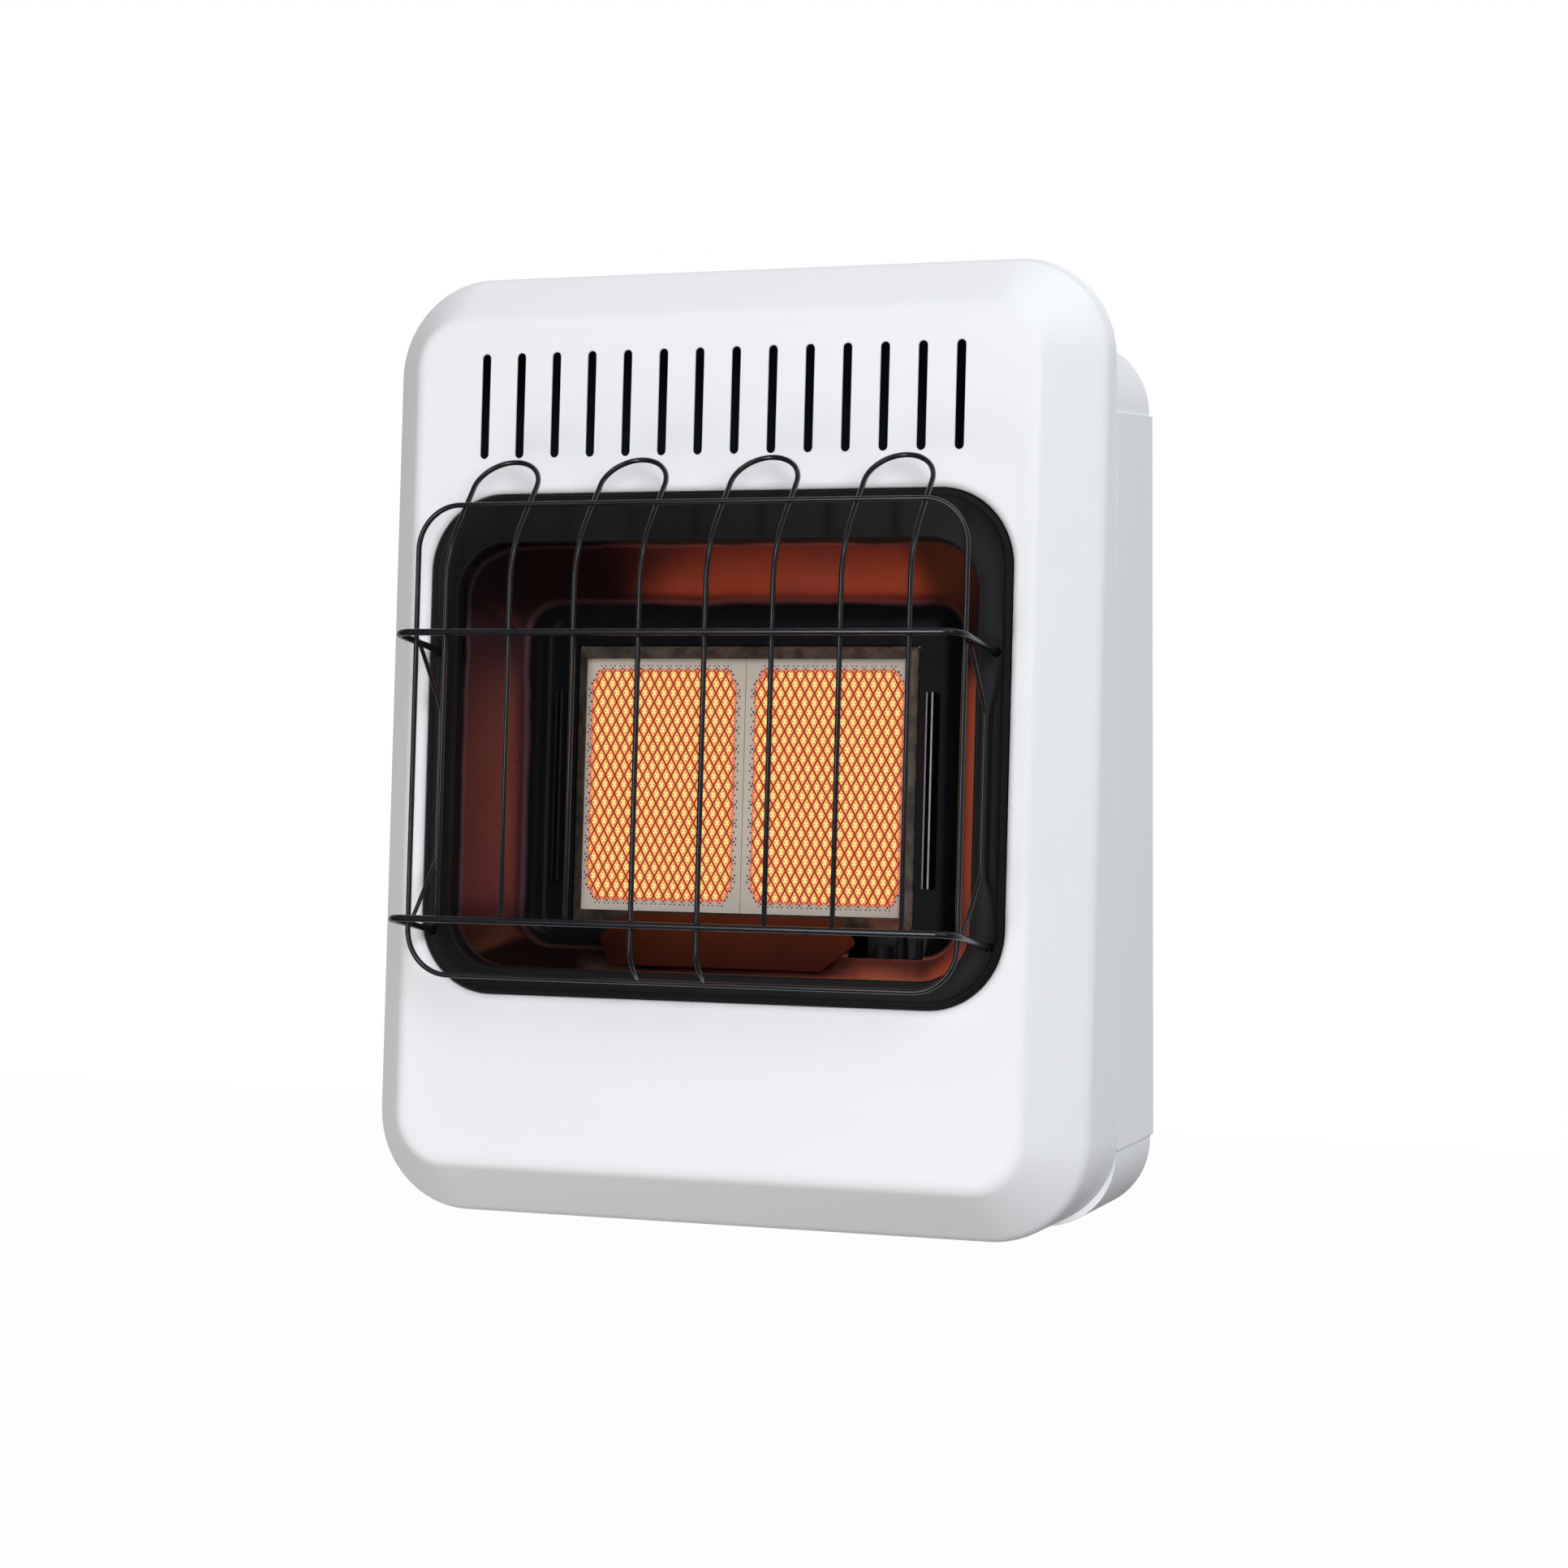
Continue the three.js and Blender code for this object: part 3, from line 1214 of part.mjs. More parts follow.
piece('gas_regulator', regulator(), aluminium);
piece('regulator_cap', regulatorCap(), brass);
piece('supply_pipe', supplyPipe(), aluminium);
piece('mixer_tube', mixerTube(), zincSteel);
piece('injector', injector(), brass);
piece('burner_pipe', burnerPipe(), aluminium);
piece('pilot_bracket', pilotBracket(), zincSteel, front);
piece('pilot_burner', pilotBurner(), brass, front);
piece('thermocouple', thermocouple(), springSteel, front);
piece('spark_electrode', sparkElectrode(), whiteCeramic, front);

const valveSide = vec(valveX + valveWidth / 2 + seat, -controlY, valveLow + lap);
const sideways = vec(lap, 0, 0);
piece('pilot_pipe', bundleLine(valveSide, sideways, 0, pilotX, pilotDepth, pilotTube), aluminium);
piece('thermocouple_lead', bundleLine(valveSide.clone().add(vec(0, 0, 2 * lap)), sideways, 1,
  pilotX + pilotSpacing, pilotPlate - seat - probeRadius, leadWire), springSteel);
piece('ignition_lead', bundleLine(
  vec(igniterX, -controlY, caseTop - sheet - 2 * seat - igniterBody), vec(0, 0, -6 * lap), 2,
  pilotX + 2 * pilotSpacing, pilotPlate - seat - electrodeRadius, leadWire), blackPlastic);

const screwX = wrapHalf - caseCorner;
[[-screwX, caseTop - caseCorner / 2], [screwX, caseTop - caseCorner / 2],
  [-screwX, caseCorner / 2 - caseBottom], [screwX, caseCorner / 2 - caseBottom]]
  .forEach(([x, z], index) => piece(`rear_screw_${index + 1}`, rearScrew(x, z), zincSteel));

export default heater;
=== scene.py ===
# %% [markdown]
# # A vent-free radiant wall heater
# The real thing is a white enamelled box on a wall. Its drawn front leans back a little and has an
# opening, where a wire guard stands before two glowing ceramic tiles in a dark reflector.
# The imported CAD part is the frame: it gives every place and size. This lesson dresses it, piece by
# piece, with finer surfaces and finishes. All lengths are written in millimetres and become metres
# only when a mesh is made.

import json
from math import radians

import bmesh
import bpy
import numpy as np
from mathutils import Matrix, Vector
from mathutils.geometry import tessellate_polygon


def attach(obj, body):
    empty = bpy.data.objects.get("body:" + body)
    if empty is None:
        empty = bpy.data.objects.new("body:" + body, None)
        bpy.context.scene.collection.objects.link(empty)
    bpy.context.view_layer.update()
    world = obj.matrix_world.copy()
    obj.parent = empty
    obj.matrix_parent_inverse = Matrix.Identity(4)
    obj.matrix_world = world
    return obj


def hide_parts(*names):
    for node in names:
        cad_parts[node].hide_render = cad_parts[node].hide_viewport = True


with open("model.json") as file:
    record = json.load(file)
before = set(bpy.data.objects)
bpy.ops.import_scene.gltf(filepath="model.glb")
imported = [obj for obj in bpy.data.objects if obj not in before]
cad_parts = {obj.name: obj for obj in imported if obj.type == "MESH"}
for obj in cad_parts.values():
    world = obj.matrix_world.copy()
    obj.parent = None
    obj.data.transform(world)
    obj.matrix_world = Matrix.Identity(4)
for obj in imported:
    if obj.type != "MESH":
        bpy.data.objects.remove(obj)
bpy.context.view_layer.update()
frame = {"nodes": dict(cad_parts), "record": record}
scene = bpy.context.scene
MM = 0.001
SIDES = ((-1, "left"), (1, "right"))


def put_in_scene(name, data):
    """An object with that data, linked to the scene."""
    made = bpy.data.objects.new(name, data)
    scene.collection.objects.link(made)
    return made


# %% [markdown]
# ## Camera
# The photograph was taken from the right, a little below the heater's top, with a long lens. The
# place and the three turns below were worked out from the heater's own corners in the photograph.
# A look-at constraint could aim the camera too, but a matrix made from the turns keeps the slight
# roll of the real shot.

# %% Camera
IMAGE_SIZE = 1932                     # pixels, width and height
FOCAL_PIXELS = 4621.19
CAMERA_PLACE = (718.25, -1786.25, -54.21)
CAMERA_YAW, CAMERA_PITCH, CAMERA_ROLL = radians(22.1766), radians(-3.3002), radians(-0.3911)
CAMERA_SHIFT = (0.00054, 0.00896)

level_right = np.array([np.cos(CAMERA_YAW), np.sin(CAMERA_YAW), 0.0])
forward = np.array([-np.sin(CAMERA_YAW) * np.cos(CAMERA_PITCH),
                    np.cos(CAMERA_YAW) * np.cos(CAMERA_PITCH), np.sin(CAMERA_PITCH)])
level_up = np.cross(level_right, forward)
right = level_right * np.cos(CAMERA_ROLL) + level_up * np.sin(CAMERA_ROLL)
up = level_up * np.cos(CAMERA_ROLL) - level_right * np.sin(CAMERA_ROLL)
camera_data = bpy.data.cameras.new("studio_camera")
camera_data.sensor_width = 36.0
camera_data.lens = FOCAL_PIXELS / IMAGE_SIZE * camera_data.sensor_width
camera_data.shift_x, camera_data.shift_y = CAMERA_SHIFT
camera = put_in_scene("studio_camera", camera_data)
turn = Matrix(np.column_stack((right, up, -forward)).tolist()).to_4x4()
camera.matrix_world = Matrix.Translation(Vector(CAMERA_PLACE) * MM) @ turn
scene.camera = camera
scene.view_settings.view_transform = "Standard"
print("camera lens:", round(camera_data.lens, 2), "mm")

# %% [markdown]
# ## Coordinates
# The cover, the reflector, the burner and the guard lean back by 5.13 degrees, so they are easiest
# to describe on the cover's own face: x to the right, depth behind the face, height along it. One
# function turns such places into the room's. The case and the controls are written in room
# millimetres straight away.

# %% From the leaning face to the room
LEAN = radians(5.13)
FACE_Y = -109.2


def room(places):
    """Face places (x, depth, height) turned about the x axis by the lean and moved out to the face."""
    x, depth, height = np.moveaxis(np.asarray(places, float), -1, 0)
    y = depth * np.cos(LEAN) + height * np.sin(LEAN) + FACE_Y
    z = height * np.cos(LEAN) - depth * np.sin(LEAN)
    return np.stack((x, y, z), -1)


def on_face(places):
    """The way back: a room place (x, y, z) written as x, depth and height of the leaning face."""
    x, y, z = np.moveaxis(np.asarray(places, float), -1, 0)
    depth = (y - FACE_Y) * np.cos(LEAN) - z * np.sin(LEAN)
    height = (y - FACE_Y) * np.sin(LEAN) + z * np.cos(LEAN)
    return np.stack((x, depth, height), -1)


def leaned(shape):
    """A shape drawn on the leaning face, with its points moved into the room."""
    points, faces = shape
    return room(points), faces


print("the face's origin in the room:", room([0, 0, 0]))

# %% [markdown]
# ## Shapes as arrays
# Nearly all pieces are sheet metal or wire. A sheet is a stack of rings: a rounded rectangle drawn
# again and again, a little larger or deeper each time, like the lines of a map. Wire is a circle
# carried along a bent path. Both are grids of points, so whole arrays can be worked out at once.

# %% Rings and grids
CORNER_STEPS = 20
RUN_STEPS = 8


def rounded(half, top, low, corner, depth):
    """Points of a rounded rectangle: four quarter circles round the corner centres, and points
    evenly spaced on the straight runs between them. Every ring has the same number of points."""
    turn = np.linspace(0, np.pi / 2, CORNER_STEPS + 1)
    corners = ((half - corner, top - corner), (corner - half, top - corner),
               (corner - half, low + corner), (half - corner, low + corner))
    arcs = [np.stack((x + corner * np.cos(turn + quarter * np.pi / 2),
                      z + corner * np.sin(turn + quarter * np.pi / 2)), -1)
            for quarter, (x, z) in enumerate(corners)]
    along = np.linspace(0, 1, RUN_STEPS + 1)[1:-1, None]
    runs = [arc[-1] * (1 - along) + arcs[(index + 1) % 4][0] * along
            for index, arc in enumerate(arcs)]
    flat = np.concatenate([part for pair in zip(arcs, runs) for part in pair])
    return np.insert(flat, 1, depth, axis=1)


def grid_faces(rows, columns, closed_rows=False, closed_columns=True):
    """Four-sided faces of a grid of points: each point joins its next column and its next row."""
    row = np.arange(rows if closed_rows else rows - 1)[:, None]
    column = np.arange(columns if closed_columns else columns - 1)[None, :]
    here, across = column % columns, (column + 1) % columns
    up_row = (row + 1) % rows
    corners = (row * columns + here, row * columns + across,
               up_row * columns + across, up_row * columns + here)
    return np.stack(np.broadcast_arrays(*corners), -1).reshape(-1, 4)


def loft(rings, closed_rows=False, closed_columns=True):
    """A surface through rings of equally many points."""
    rings = np.asarray(rings, float)
    faces = grid_faces(rings.shape[0], rings.shape[1], closed_rows, closed_columns)
    return rings.reshape(-1, 3), [faces]


def together(*shapes):
    """Several shapes as one: their points in a row, and each one's faces counted on."""
    starts = np.cumsum([0] + [len(points) for points, _ in shapes])
    points = np.concatenate([points for points, _ in shapes])
    return points, [face + start for (_, faces), start in zip(shapes, starts) for face in faces]


def flat_fill(outline, *holes):
    """Triangles that fill a flat outline and leave its holes open."""
    loops = [outline, *holes]
    flats = [loop - outline.mean(0) for loop in loops]
    main = np.linalg.svd(flats[0], full_matrices=False)[2][:2]
    lines = [[Vector((*place, 0.0)) for place in (loop @ main.T).tolist()] for loop in flats]
    return np.concatenate(loops), [np.array(tessellate_polygon(lines))]


def solid_between(first, last):
    """The solid between two flat outlines of equally many points: a wall and two flat ends."""
    return together(loft([first, last]), flat_fill(first), flat_fill(last))


def bend_between(start, corner, end, steps):
    """A soft bend: the curve (1-t)(1-t) start + 2t(1-t) corner + t t end, for t from 0 to 1."""
    t = np.linspace(0, 1, steps + 1).reshape(-1, *([1] * np.ndim(start)))
    return (1 - t) ** 2 * start + 2 * t * (1 - t) * corner + t ** 2 * end


def through(rings, steps):
    """A smooth skin through given rings: Catmull-Rom cubics between neighbours, in equal steps."""
    rings = np.asarray(rings, float)
    ends = np.concatenate((2 * rings[:1] - rings[1:2], rings, 2 * rings[-1:] - rings[-2:-1]))
    before, here, there, after = ends[:-3], ends[1:-2], ends[2:-1], ends[3:]
    t = np.linspace(0, 1, steps, endpoint=False).reshape(-1, *([1] * rings.ndim))
    curve = 0.5 * (2 * here + (there - before) * t + (2 * before - 5 * here + 4 * there - after) * t ** 2
                   + (3 * here - before - 3 * there + after) * t ** 3)
    curve = np.moveaxis(curve, 0, 1).reshape(-1, *rings.shape[1:])
    return np.concatenate((curve, rings[-1:]))


print("points in one ring:", len(rounded(100, 50, -50, 10, 0)))

# %% [markdown]
# ## From arrays to pieces
# A piece is a mesh with its place in its points, so its object stays at the origin. Doubled points
# are merged and the faces turned outwards before anything else. Faces that meet at a small angle
# are shaded as one curve, and the sharp bends of the metal stay sharp. Holes are cut with a Boolean
# on the finished shape, because punching is how the real sheet gets them.

# %% Piece maker
MERGE = 0.002                         # points closer than this are one point
SHARP_ANGLE = 34


def put_in_mesh(name, shape):
    """A mesh from points in millimetres and lists of faces, merged, with its faces outwards."""
    points, faces = shape
    mesh = bpy.data.meshes.new(name)
    mesh.from_pydata((points * MM).tolist(), [],
                     [corner for block in faces for corner in block.tolist()])
    work = bmesh.new()
    work.from_mesh(mesh)
    bmesh.ops.remove_doubles(work, verts=work.verts, dist=MERGE * MM)
    bmesh.ops.dissolve_degenerate(work, edges=work.edges, dist=MERGE * MM / 4)
    bmesh.ops.recalc_face_normals(work, faces=work.faces)
    work.to_mesh(mesh)
    work.free()
    return mesh


def punch(mesh, *tools):
    """The mesh with every tool shape cut out of it by an exact Boolean."""
    body = put_in_scene("blank", mesh)
    cutter = put_in_scene("punch", put_in_mesh("punch", together(*tools)))
    boolean = body.modifiers.new("punch", "BOOLEAN")
    boolean.operation, boolean.solver, boolean.object = "DIFFERENCE", "EXACT", cutter
    boolean.use_self = True
    graph = bpy.context.evaluated_depsgraph_get()
    cut = bpy.data.meshes.new_from_object(body.evaluated_get(graph))
    bpy.data.objects.remove(body)
    bpy.data.objects.remove(cutter)
    return cut


def soften(thing, width):
    """A small bevel modifier on the sharp edges, its width in millimetres."""
    edge = thing.modifiers.new("edge", "BEVEL")
    edge.width, edge.segments, edge.limit_method = width * MM, 2, "ANGLE"


def piece(name, shape, slot, *nodes, body="root", tools=(), sharp=SHARP_ANGLE, bevel=0.0,
          material=None):
    """A finished piece: mesh, smooth shading with sharp bends kept, finish, body and CAD nodes."""
    mesh = put_in_mesh(name, shape)
    if tools:
        mesh = punch(mesh, *tools)
    mesh.name = name
    mesh.shade_smooth()
    mesh.set_sharp_from_angle(angle=radians(sharp))
    mesh.materials.clear()
    mesh.materials.append(material or finishes[slot])
    made = put_in_scene(name, mesh)
    if bevel:
        soften(made, bevel)
    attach(made, body)
    if nodes:
        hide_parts(*nodes)
    print(name, "triangles:", sum(len(face.vertices) - 2 for face in mesh.polygons))
    return made


# %% [markdown]
# ## Node helpers
# Finishes are built from nodes that read Object coordinates, so they sit still on the metal. Two
# effects come back in many of them, so they are groups: a slow drift of colour, as every real
# coating has, and a skin that gives fine height and a roughness that wanders a little. A third group
# gives the place on the leaning face: a Mapping node turns Object coordinates by the lean, which
# makes y the depth behind the face and z the height along it, in metres.

# %% Node helpers
def feed(made, values):
    """Values for a node's inputs: a socket makes a link, any other is set on the input itself."""
    for name, value in values.items():
        if isinstance(value, bpy.types.NodeSocket):
            made.id_data.links.new(value, made.inputs[name])
        else:
            made.inputs[name].default_value = value


def node(tree, kind, values=None, **settings):
    """One node: settings are its own properties, and values go to its inputs."""
    made = tree.nodes.new(kind)
    for name, value in settings.items():
        setattr(made, name, value)
    feed(made, values or {})
    return made


def maths(operation):
    """A function that makes a Math node, in the tree of the first of its values that is a socket."""
    def calculate(*values):
        tree = next(value.id_data for value in values if isinstance(value, bpy.types.NodeSocket))
        return node(tree, "ShaderNodeMath", dict(enumerate(values)), operation=operation).outputs[0]
    return calculate


plus, minus, times, divided = map(maths, ("ADD", "SUBTRACT", "MULTIPLY", "DIVIDE"))
larger, smaller, size_of = map(maths, ("MAXIMUM", "MINIMUM", "ABSOLUTE"))
fraction, folded, root_of = map(maths, ("FRACT", "PINGPONG", "SQRT"))


def blend_colours(share, first, second):
    """A Mix node for colours."""
    made = node(share.id_data, "ShaderNodeMix", data_type="RGBA")
    first, second = [value if isinstance(value, bpy.types.NodeSocket) else (*value, 1.0)
                     for value in (first, second)]
    feed(made, {0: share, 6: first, 7: second})
    return made.outputs[2]


def steps_between(value, low, high, to_low=0.0, to_high=1.0):
    """A Map Range node that runs softly from one value to another."""
    return node(value.id_data, "ShaderNodeMapRange",
                {"Value": value, "From Min": low, "From Max": high, "To Min": to_low, "To Max": to_high},
                interpolation_type="SMOOTHSTEP").outputs[0]


def object_place(tree):
    """The Object coordinates of a tree."""
    return node(tree, "ShaderNodeTexCoord").outputs["Object"]


def noise(where, scale, detail):
    """A noise over a place, as one number."""
    return node(where.id_data, "ShaderNodeTexNoise",
                {"Vector": where, "Scale": scale, "Detail": detail}).outputs[0]


def new_material(name):
    """An empty material with its tree and its shader."""
    material = bpy.data.materials.new(name)
    material.use_nodes = True
    return material, material.node_tree, material.node_tree.nodes["Principled BSDF"]


def new_group(name, inputs, outputs):
    """An empty shader group with named sockets; inputs come with their default values."""
    group = bpy.data.node_groups.new(name, "ShaderNodeTree")
    for label, (kind, value) in inputs.items():
        socket = group.interface.new_socket(name=label, in_out="INPUT", socket_type=kind)
        socket.default_value = value
    for label, kind in outputs.items():
        group.interface.new_socket(name=label, in_out="OUTPUT", socket_type=kind)
    return group, group.nodes.new("NodeGroupInput"), group.nodes.new("NodeGroupOutput")


NUMBER, COLOUR = "NodeSocketFloat", "NodeSocketColor"
drift_group, given, result = new_group(
    "colour_drift",
    {"Colour": (COLOUR, (1, 1, 1, 1)), "Other Colour": (COLOUR, (0.8, 0.8, 0.8, 1)),
     "Scale": (NUMBER, 20.0), "Amount": (NUMBER, 0.5)},
    {"Colour": COLOUR})
cloud = noise(object_place(drift_group), given.outputs["Scale"], 3.0)
share = times(steps_between(cloud, 0.3, 0.7), given.outputs["Amount"])
feed(result, {"Colour": blend_colours(share, given.outputs["Colour"], given.outputs["Other Colour"])})

skin_group, given, result = new_group(
    "surface_skin",
    {"Grain Scale": (NUMBER, 900.0), "Stretch": (NUMBER, 1.0), "Low": (NUMBER, 0.3),
     "High": (NUMBER, 0.4)},
    {"Height": NUMBER, "Roughness": NUMBER})
pull = node(skin_group, "ShaderNodeCombineXYZ", {"X": 1.0, "Y": 1.0, "Z": given.outputs["Stretch"]})
drawn = node(skin_group, "ShaderNodeVectorMath",
             {0: object_place(skin_group), 1: pull.outputs[0]}, operation="MULTIPLY").outputs[0]
smear = noise(drawn, 16.0, 2.0)
feed(result, {"Height": noise(drawn, given.outputs["Grain Scale"], 2.0),
              "Roughness": steps_between(smear, 0.2, 0.8, given.outputs["Low"], given.outputs["High"])})

place_group, given, result = new_group("leaning_place", {},
                                       {"Across": NUMBER, "Depth": NUMBER, "Height": NUMBER})
leaning = node(place_group, "ShaderNodeMapping", {
    "Vector": object_place(place_group), "Rotation": (LEAN, 0, 0),
    "Location": (0, -FACE_Y * np.cos(LEAN) * MM, -FACE_Y * np.sin(LEAN) * MM)}).outputs[0]
parts = node(place_group, "ShaderNodeSeparateXYZ", {0: leaning}).outputs
feed(result, dict(zip(("Across", "Depth", "Height"), parts)))
print("groups:", [group.name for group in (drift_group, skin_group, place_group)])

# %% [markdown]
# ## Plain finishes
# Enamel, satin black, zinc, brass and the rest differ in a handful of numbers: two colours that
# drift into each other, how rough, how metallic, how fine the grain and how deep it is. One function
# makes them all, which keeps each finish to a line. Streaked metals get a grain that is stretched
# along the height, as rolling leaves it.

# %% Finish maker
finishes = {}


def finish(slot, colour, other, low, high, metallic=0.0, specular=0.5, drift=(14.0, 0.6), grain=900.0,
           stretch=1.0, depth=0.02):
    """A material: colours drift, roughness wanders between low and high, grain lifts the surface by
    depth millimetres at most."""
    material, tree, shader = new_material(slot)
    tint = node(tree, "ShaderNodeGroup", node_tree=drift_group)
    feed(tint, {"Colour": (*colour, 1), "Other Colour": (*other, 1), "Scale": drift[0],
                "Amount": drift[1]})
    skin = node(tree, "ShaderNodeGroup", node_tree=skin_group)
    feed(skin, {"Grain Scale": grain, "Stretch": stretch, "Low": low, "High": high})
    bump = node(tree, "ShaderNodeBump",
                {"Height": skin.outputs["Height"], "Strength": 1.0, "Distance": depth * MM})
    feed(shader, {"Base Color": tint.outputs["Colour"], "Roughness": skin.outputs["Roughness"],
                  "Normal": bump.outputs["Normal"], "Metallic": metallic,
                  "Specular IOR Level": specular})
    finishes[slot] = material
    return material


finish("white_paint", (0.872, 0.879, 0.893), (0.865, 0.874, 0.889), 0.3, 0.315, specular=0.2,
       drift=(3.0, 0.4), grain=520.0, depth=0.004)
finish("black_paint", (0.0085, 0.008, 0.0085), (0.0115, 0.0108, 0.0112), 0.27, 0.36, specular=0.1,
       grain=1600.0)
finish("black_wire", (0.009, 0.009, 0.012), (0.014, 0.012, 0.013), 0.22, 0.3, specular=1.0,
       grain=1200.0)
finish("fibre", (0.56, 0.53, 0.46), (0.44, 0.4, 0.33), 0.9, 0.98, drift=(160.0, 0.8), grain=1500.0,
       depth=0.2)
finish("zinc_steel", (0.5, 0.52, 0.54), (0.38, 0.4, 0.42), 0.34, 0.5, metallic=0.9, drift=(90.0, 0.9))
finish("brass", (0.62, 0.44, 0.16), (0.5, 0.33, 0.11), 0.26, 0.4, metallic=1.0, drift=(40.0, 0.6))
finish("aluminium", (0.6, 0.61, 0.63), (0.48, 0.49, 0.51), 0.3, 0.44, metallic=1.0, drift=(40.0, 0.6),
       depth=0.03)
finish("black_plastic", (0.012, 0.012, 0.013), (0.018, 0.018, 0.019), 0.38, 0.5, grain=1800.0,
       depth=0.03)
finish("white_ceramic", (0.8, 0.77, 0.7), (0.72, 0.68, 0.6), 0.3, 0.45, drift=(60.0, 0.6))
finish("spring_steel", (0.34, 0.34, 0.35), (0.24, 0.24, 0.25), 0.24, 0.36, metallic=1.0,
       drift=(80.0, 0.6))
finish("burner_steel", (0.25, 0.21, 0.168), (0.12, 0.1, 0.08), 0.3, 0.46, metallic=0.82,
       drift=(120.0, 1.0), grain=1100.0, stretch=0.15, depth=0.05)
# Painted shade: a dark bluish zinc for the chassis plate, seen deep in the slots.
finish("shaded_zinc", (0.07, 0.082, 0.12), (0.05, 0.06, 0.09), 0.5, 0.62, metallic=0.6,
       drift=(60.0, 0.9))
# A darker red-tinted metal than the pan's, used for the deflector.
finish("darker_red_steel", (0.11, 0.026, 0.02), (0.07, 0.02, 0.016), 0.3, 0.42, metallic=0.9,
       drift=(30.0, 0.8))
# Painted shade: near-black for the parts in the pilot's gap and for the left strip.
finish("shaded_black", (0.004, 0.004, 0.005), (0.007, 0.007, 0.008), 0.42, 0.55, specular=0.3,
       drift=(40.0, 0.8))
print("plain finishes:", len(finishes))

# %% [markdown]
# ## Reflector enamel
# The pan is dark and shiny. Round the burner it is blue-black enamel, and its flared walls mirror
# the tiles in a deep brownish red; the metal's red tint stands in for the redder glow in those
# reflections. The walls' differences are painted reflection and painted shade: the lower right and
# the right wall are painted the brightest red, the left wall a duller brown, the other three corners
# are painted dark as shade, and the mouth is black as painted shade where it would mirror the tiles.
# A mirror alone would give the red, but not these differences, so soft masks over the place on the
# leaning face choose the colour. A thin clear coat adds the cool light.

# %% Reflector enamel
# Where each mask begins and where it is full: metres of height, across or depth on the face.
LOW_WALL, TOP_WALL, HIGH_PART = (-0.205, -0.225), (-0.08, -0.06), (-0.108, -0.088)
LEFT_WALL, RIGHT_WALL, RIGHT_PART = (-0.104, -0.122), (0.1, 0.118), (0.088, 0.106)
TO_LEFT, TO_RIGHT, FAR_LEFT = (0.0, -0.06), (0.0, 0.06), (-0.025, -0.075)
BLACK_FLOOR, MOUTH_SHADE, UNEVEN = (0.037, 0.042), (0.0115, 0.0075), 0.004
# Painted reflection and shade: the bright red and the dim brown stand in for how much of the tiles the
# walls mirror, and the corner colour is painted shade.
PAINTED_REFLECTION_RED, DIM_REFLECTION_BROWN = (0.95, 0.29, 0.22), (0.21, 0.115, 0.14)
CORNER_SHADE_COLOUR, CORNER_SHADE_SHARE, ENAMEL = (0.05, 0.03, 0.03), 0.85, (0.004, 0.0035, 0.0045)


def reflector_material():
    """Red-tinted metal with painted reflection and corner shade, turning to black enamel on the floor
    and, as painted shade, at the mouth, under a coat.
    """
    # The metal's red tint stands in for the redder glow of the tiles in its reflections.
    material = finish("heated_steel", (0.42, 0.112, 0.108), (0.34, 0.09, 0.088), 0.22, 0.3,
                      drift=(16.0, 0.7), depth=0.006)
    tree = material.node_tree
    shader = tree.nodes["Principled BSDF"]
    red = shader.inputs["Base Color"].links[0].from_socket
    smooth = shader.inputs["Roughness"].links[0].from_socket
    across, deep, height = node(tree, "ShaderNodeGroup", node_tree=place_group).outputs
    deep = plus(deep, times(minus(noise(object_place(tree), 30.0, 2.0), 0.5), UNEVEN))
    low_wall = steps_between(height, *LOW_WALL)
    right_wall = steps_between(across, *RIGHT_WALL)
    low_right = times(low_wall, steps_between(across, *TO_RIGHT))
    low_left = times(low_wall, steps_between(across, *TO_LEFT))
    top_left = times(steps_between(height, *TOP_WALL), steps_between(across, *FAR_LEFT))
    top_right = times(steps_between(height, *HIGH_PART), steps_between(across, *RIGHT_PART))
    # Painted shade in three corners, and painted reflection on the lower right and the right wall.
    corner_shade = times(larger(larger(low_left, top_left), top_right), CORNER_SHADE_SHARE)
    colour = blend_colours(larger(low_right, right_wall), red, PAINTED_REFLECTION_RED)
    colour = blend_colours(steps_between(across, *LEFT_WALL), colour, DIM_REFLECTION_BROWN)
    colour = blend_colours(corner_shade, colour, CORNER_SHADE_COLOUR)
    # The black at the mouth is painted shade where the lip would mirror the tiles.
    black = larger(steps_between(deep, *BLACK_FLOOR), steps_between(deep, *MOUTH_SHADE))
    feed(shader, {"Base Color": blend_colours(black, colour, ENAMEL),
                  "Metallic": steps_between(black, 0.0, 1.0, 0.94, 0.0),
                  "Roughness": plus(smooth, times(right_wall, 0.25)),
                  "Specular IOR Level": 0.05, "Coat Weight": 0.03, "Coat Roughness": 0.22})
    return material


print("reflector:", reflector_material().name)

# %% [markdown]
# ## Glowing ceramic
# Each tile is a perforated plate. Two sets of slanting grooves cut its face into tall diamonds, and
# each diamond has four holes, where the gas burns. The diamonds glow yellow, the grooves stay dark
# red, and a beige rim under the frame doesn't burn; it gets only a faint painted glow, and its holes
# are painted dark as shade. The pattern could be painted as an image, but it is only arithmetic: u
# and v count diamonds across and up, and u + v and u - v are whole numbers in the middle of each
# diamond and end in a half on the grooves.

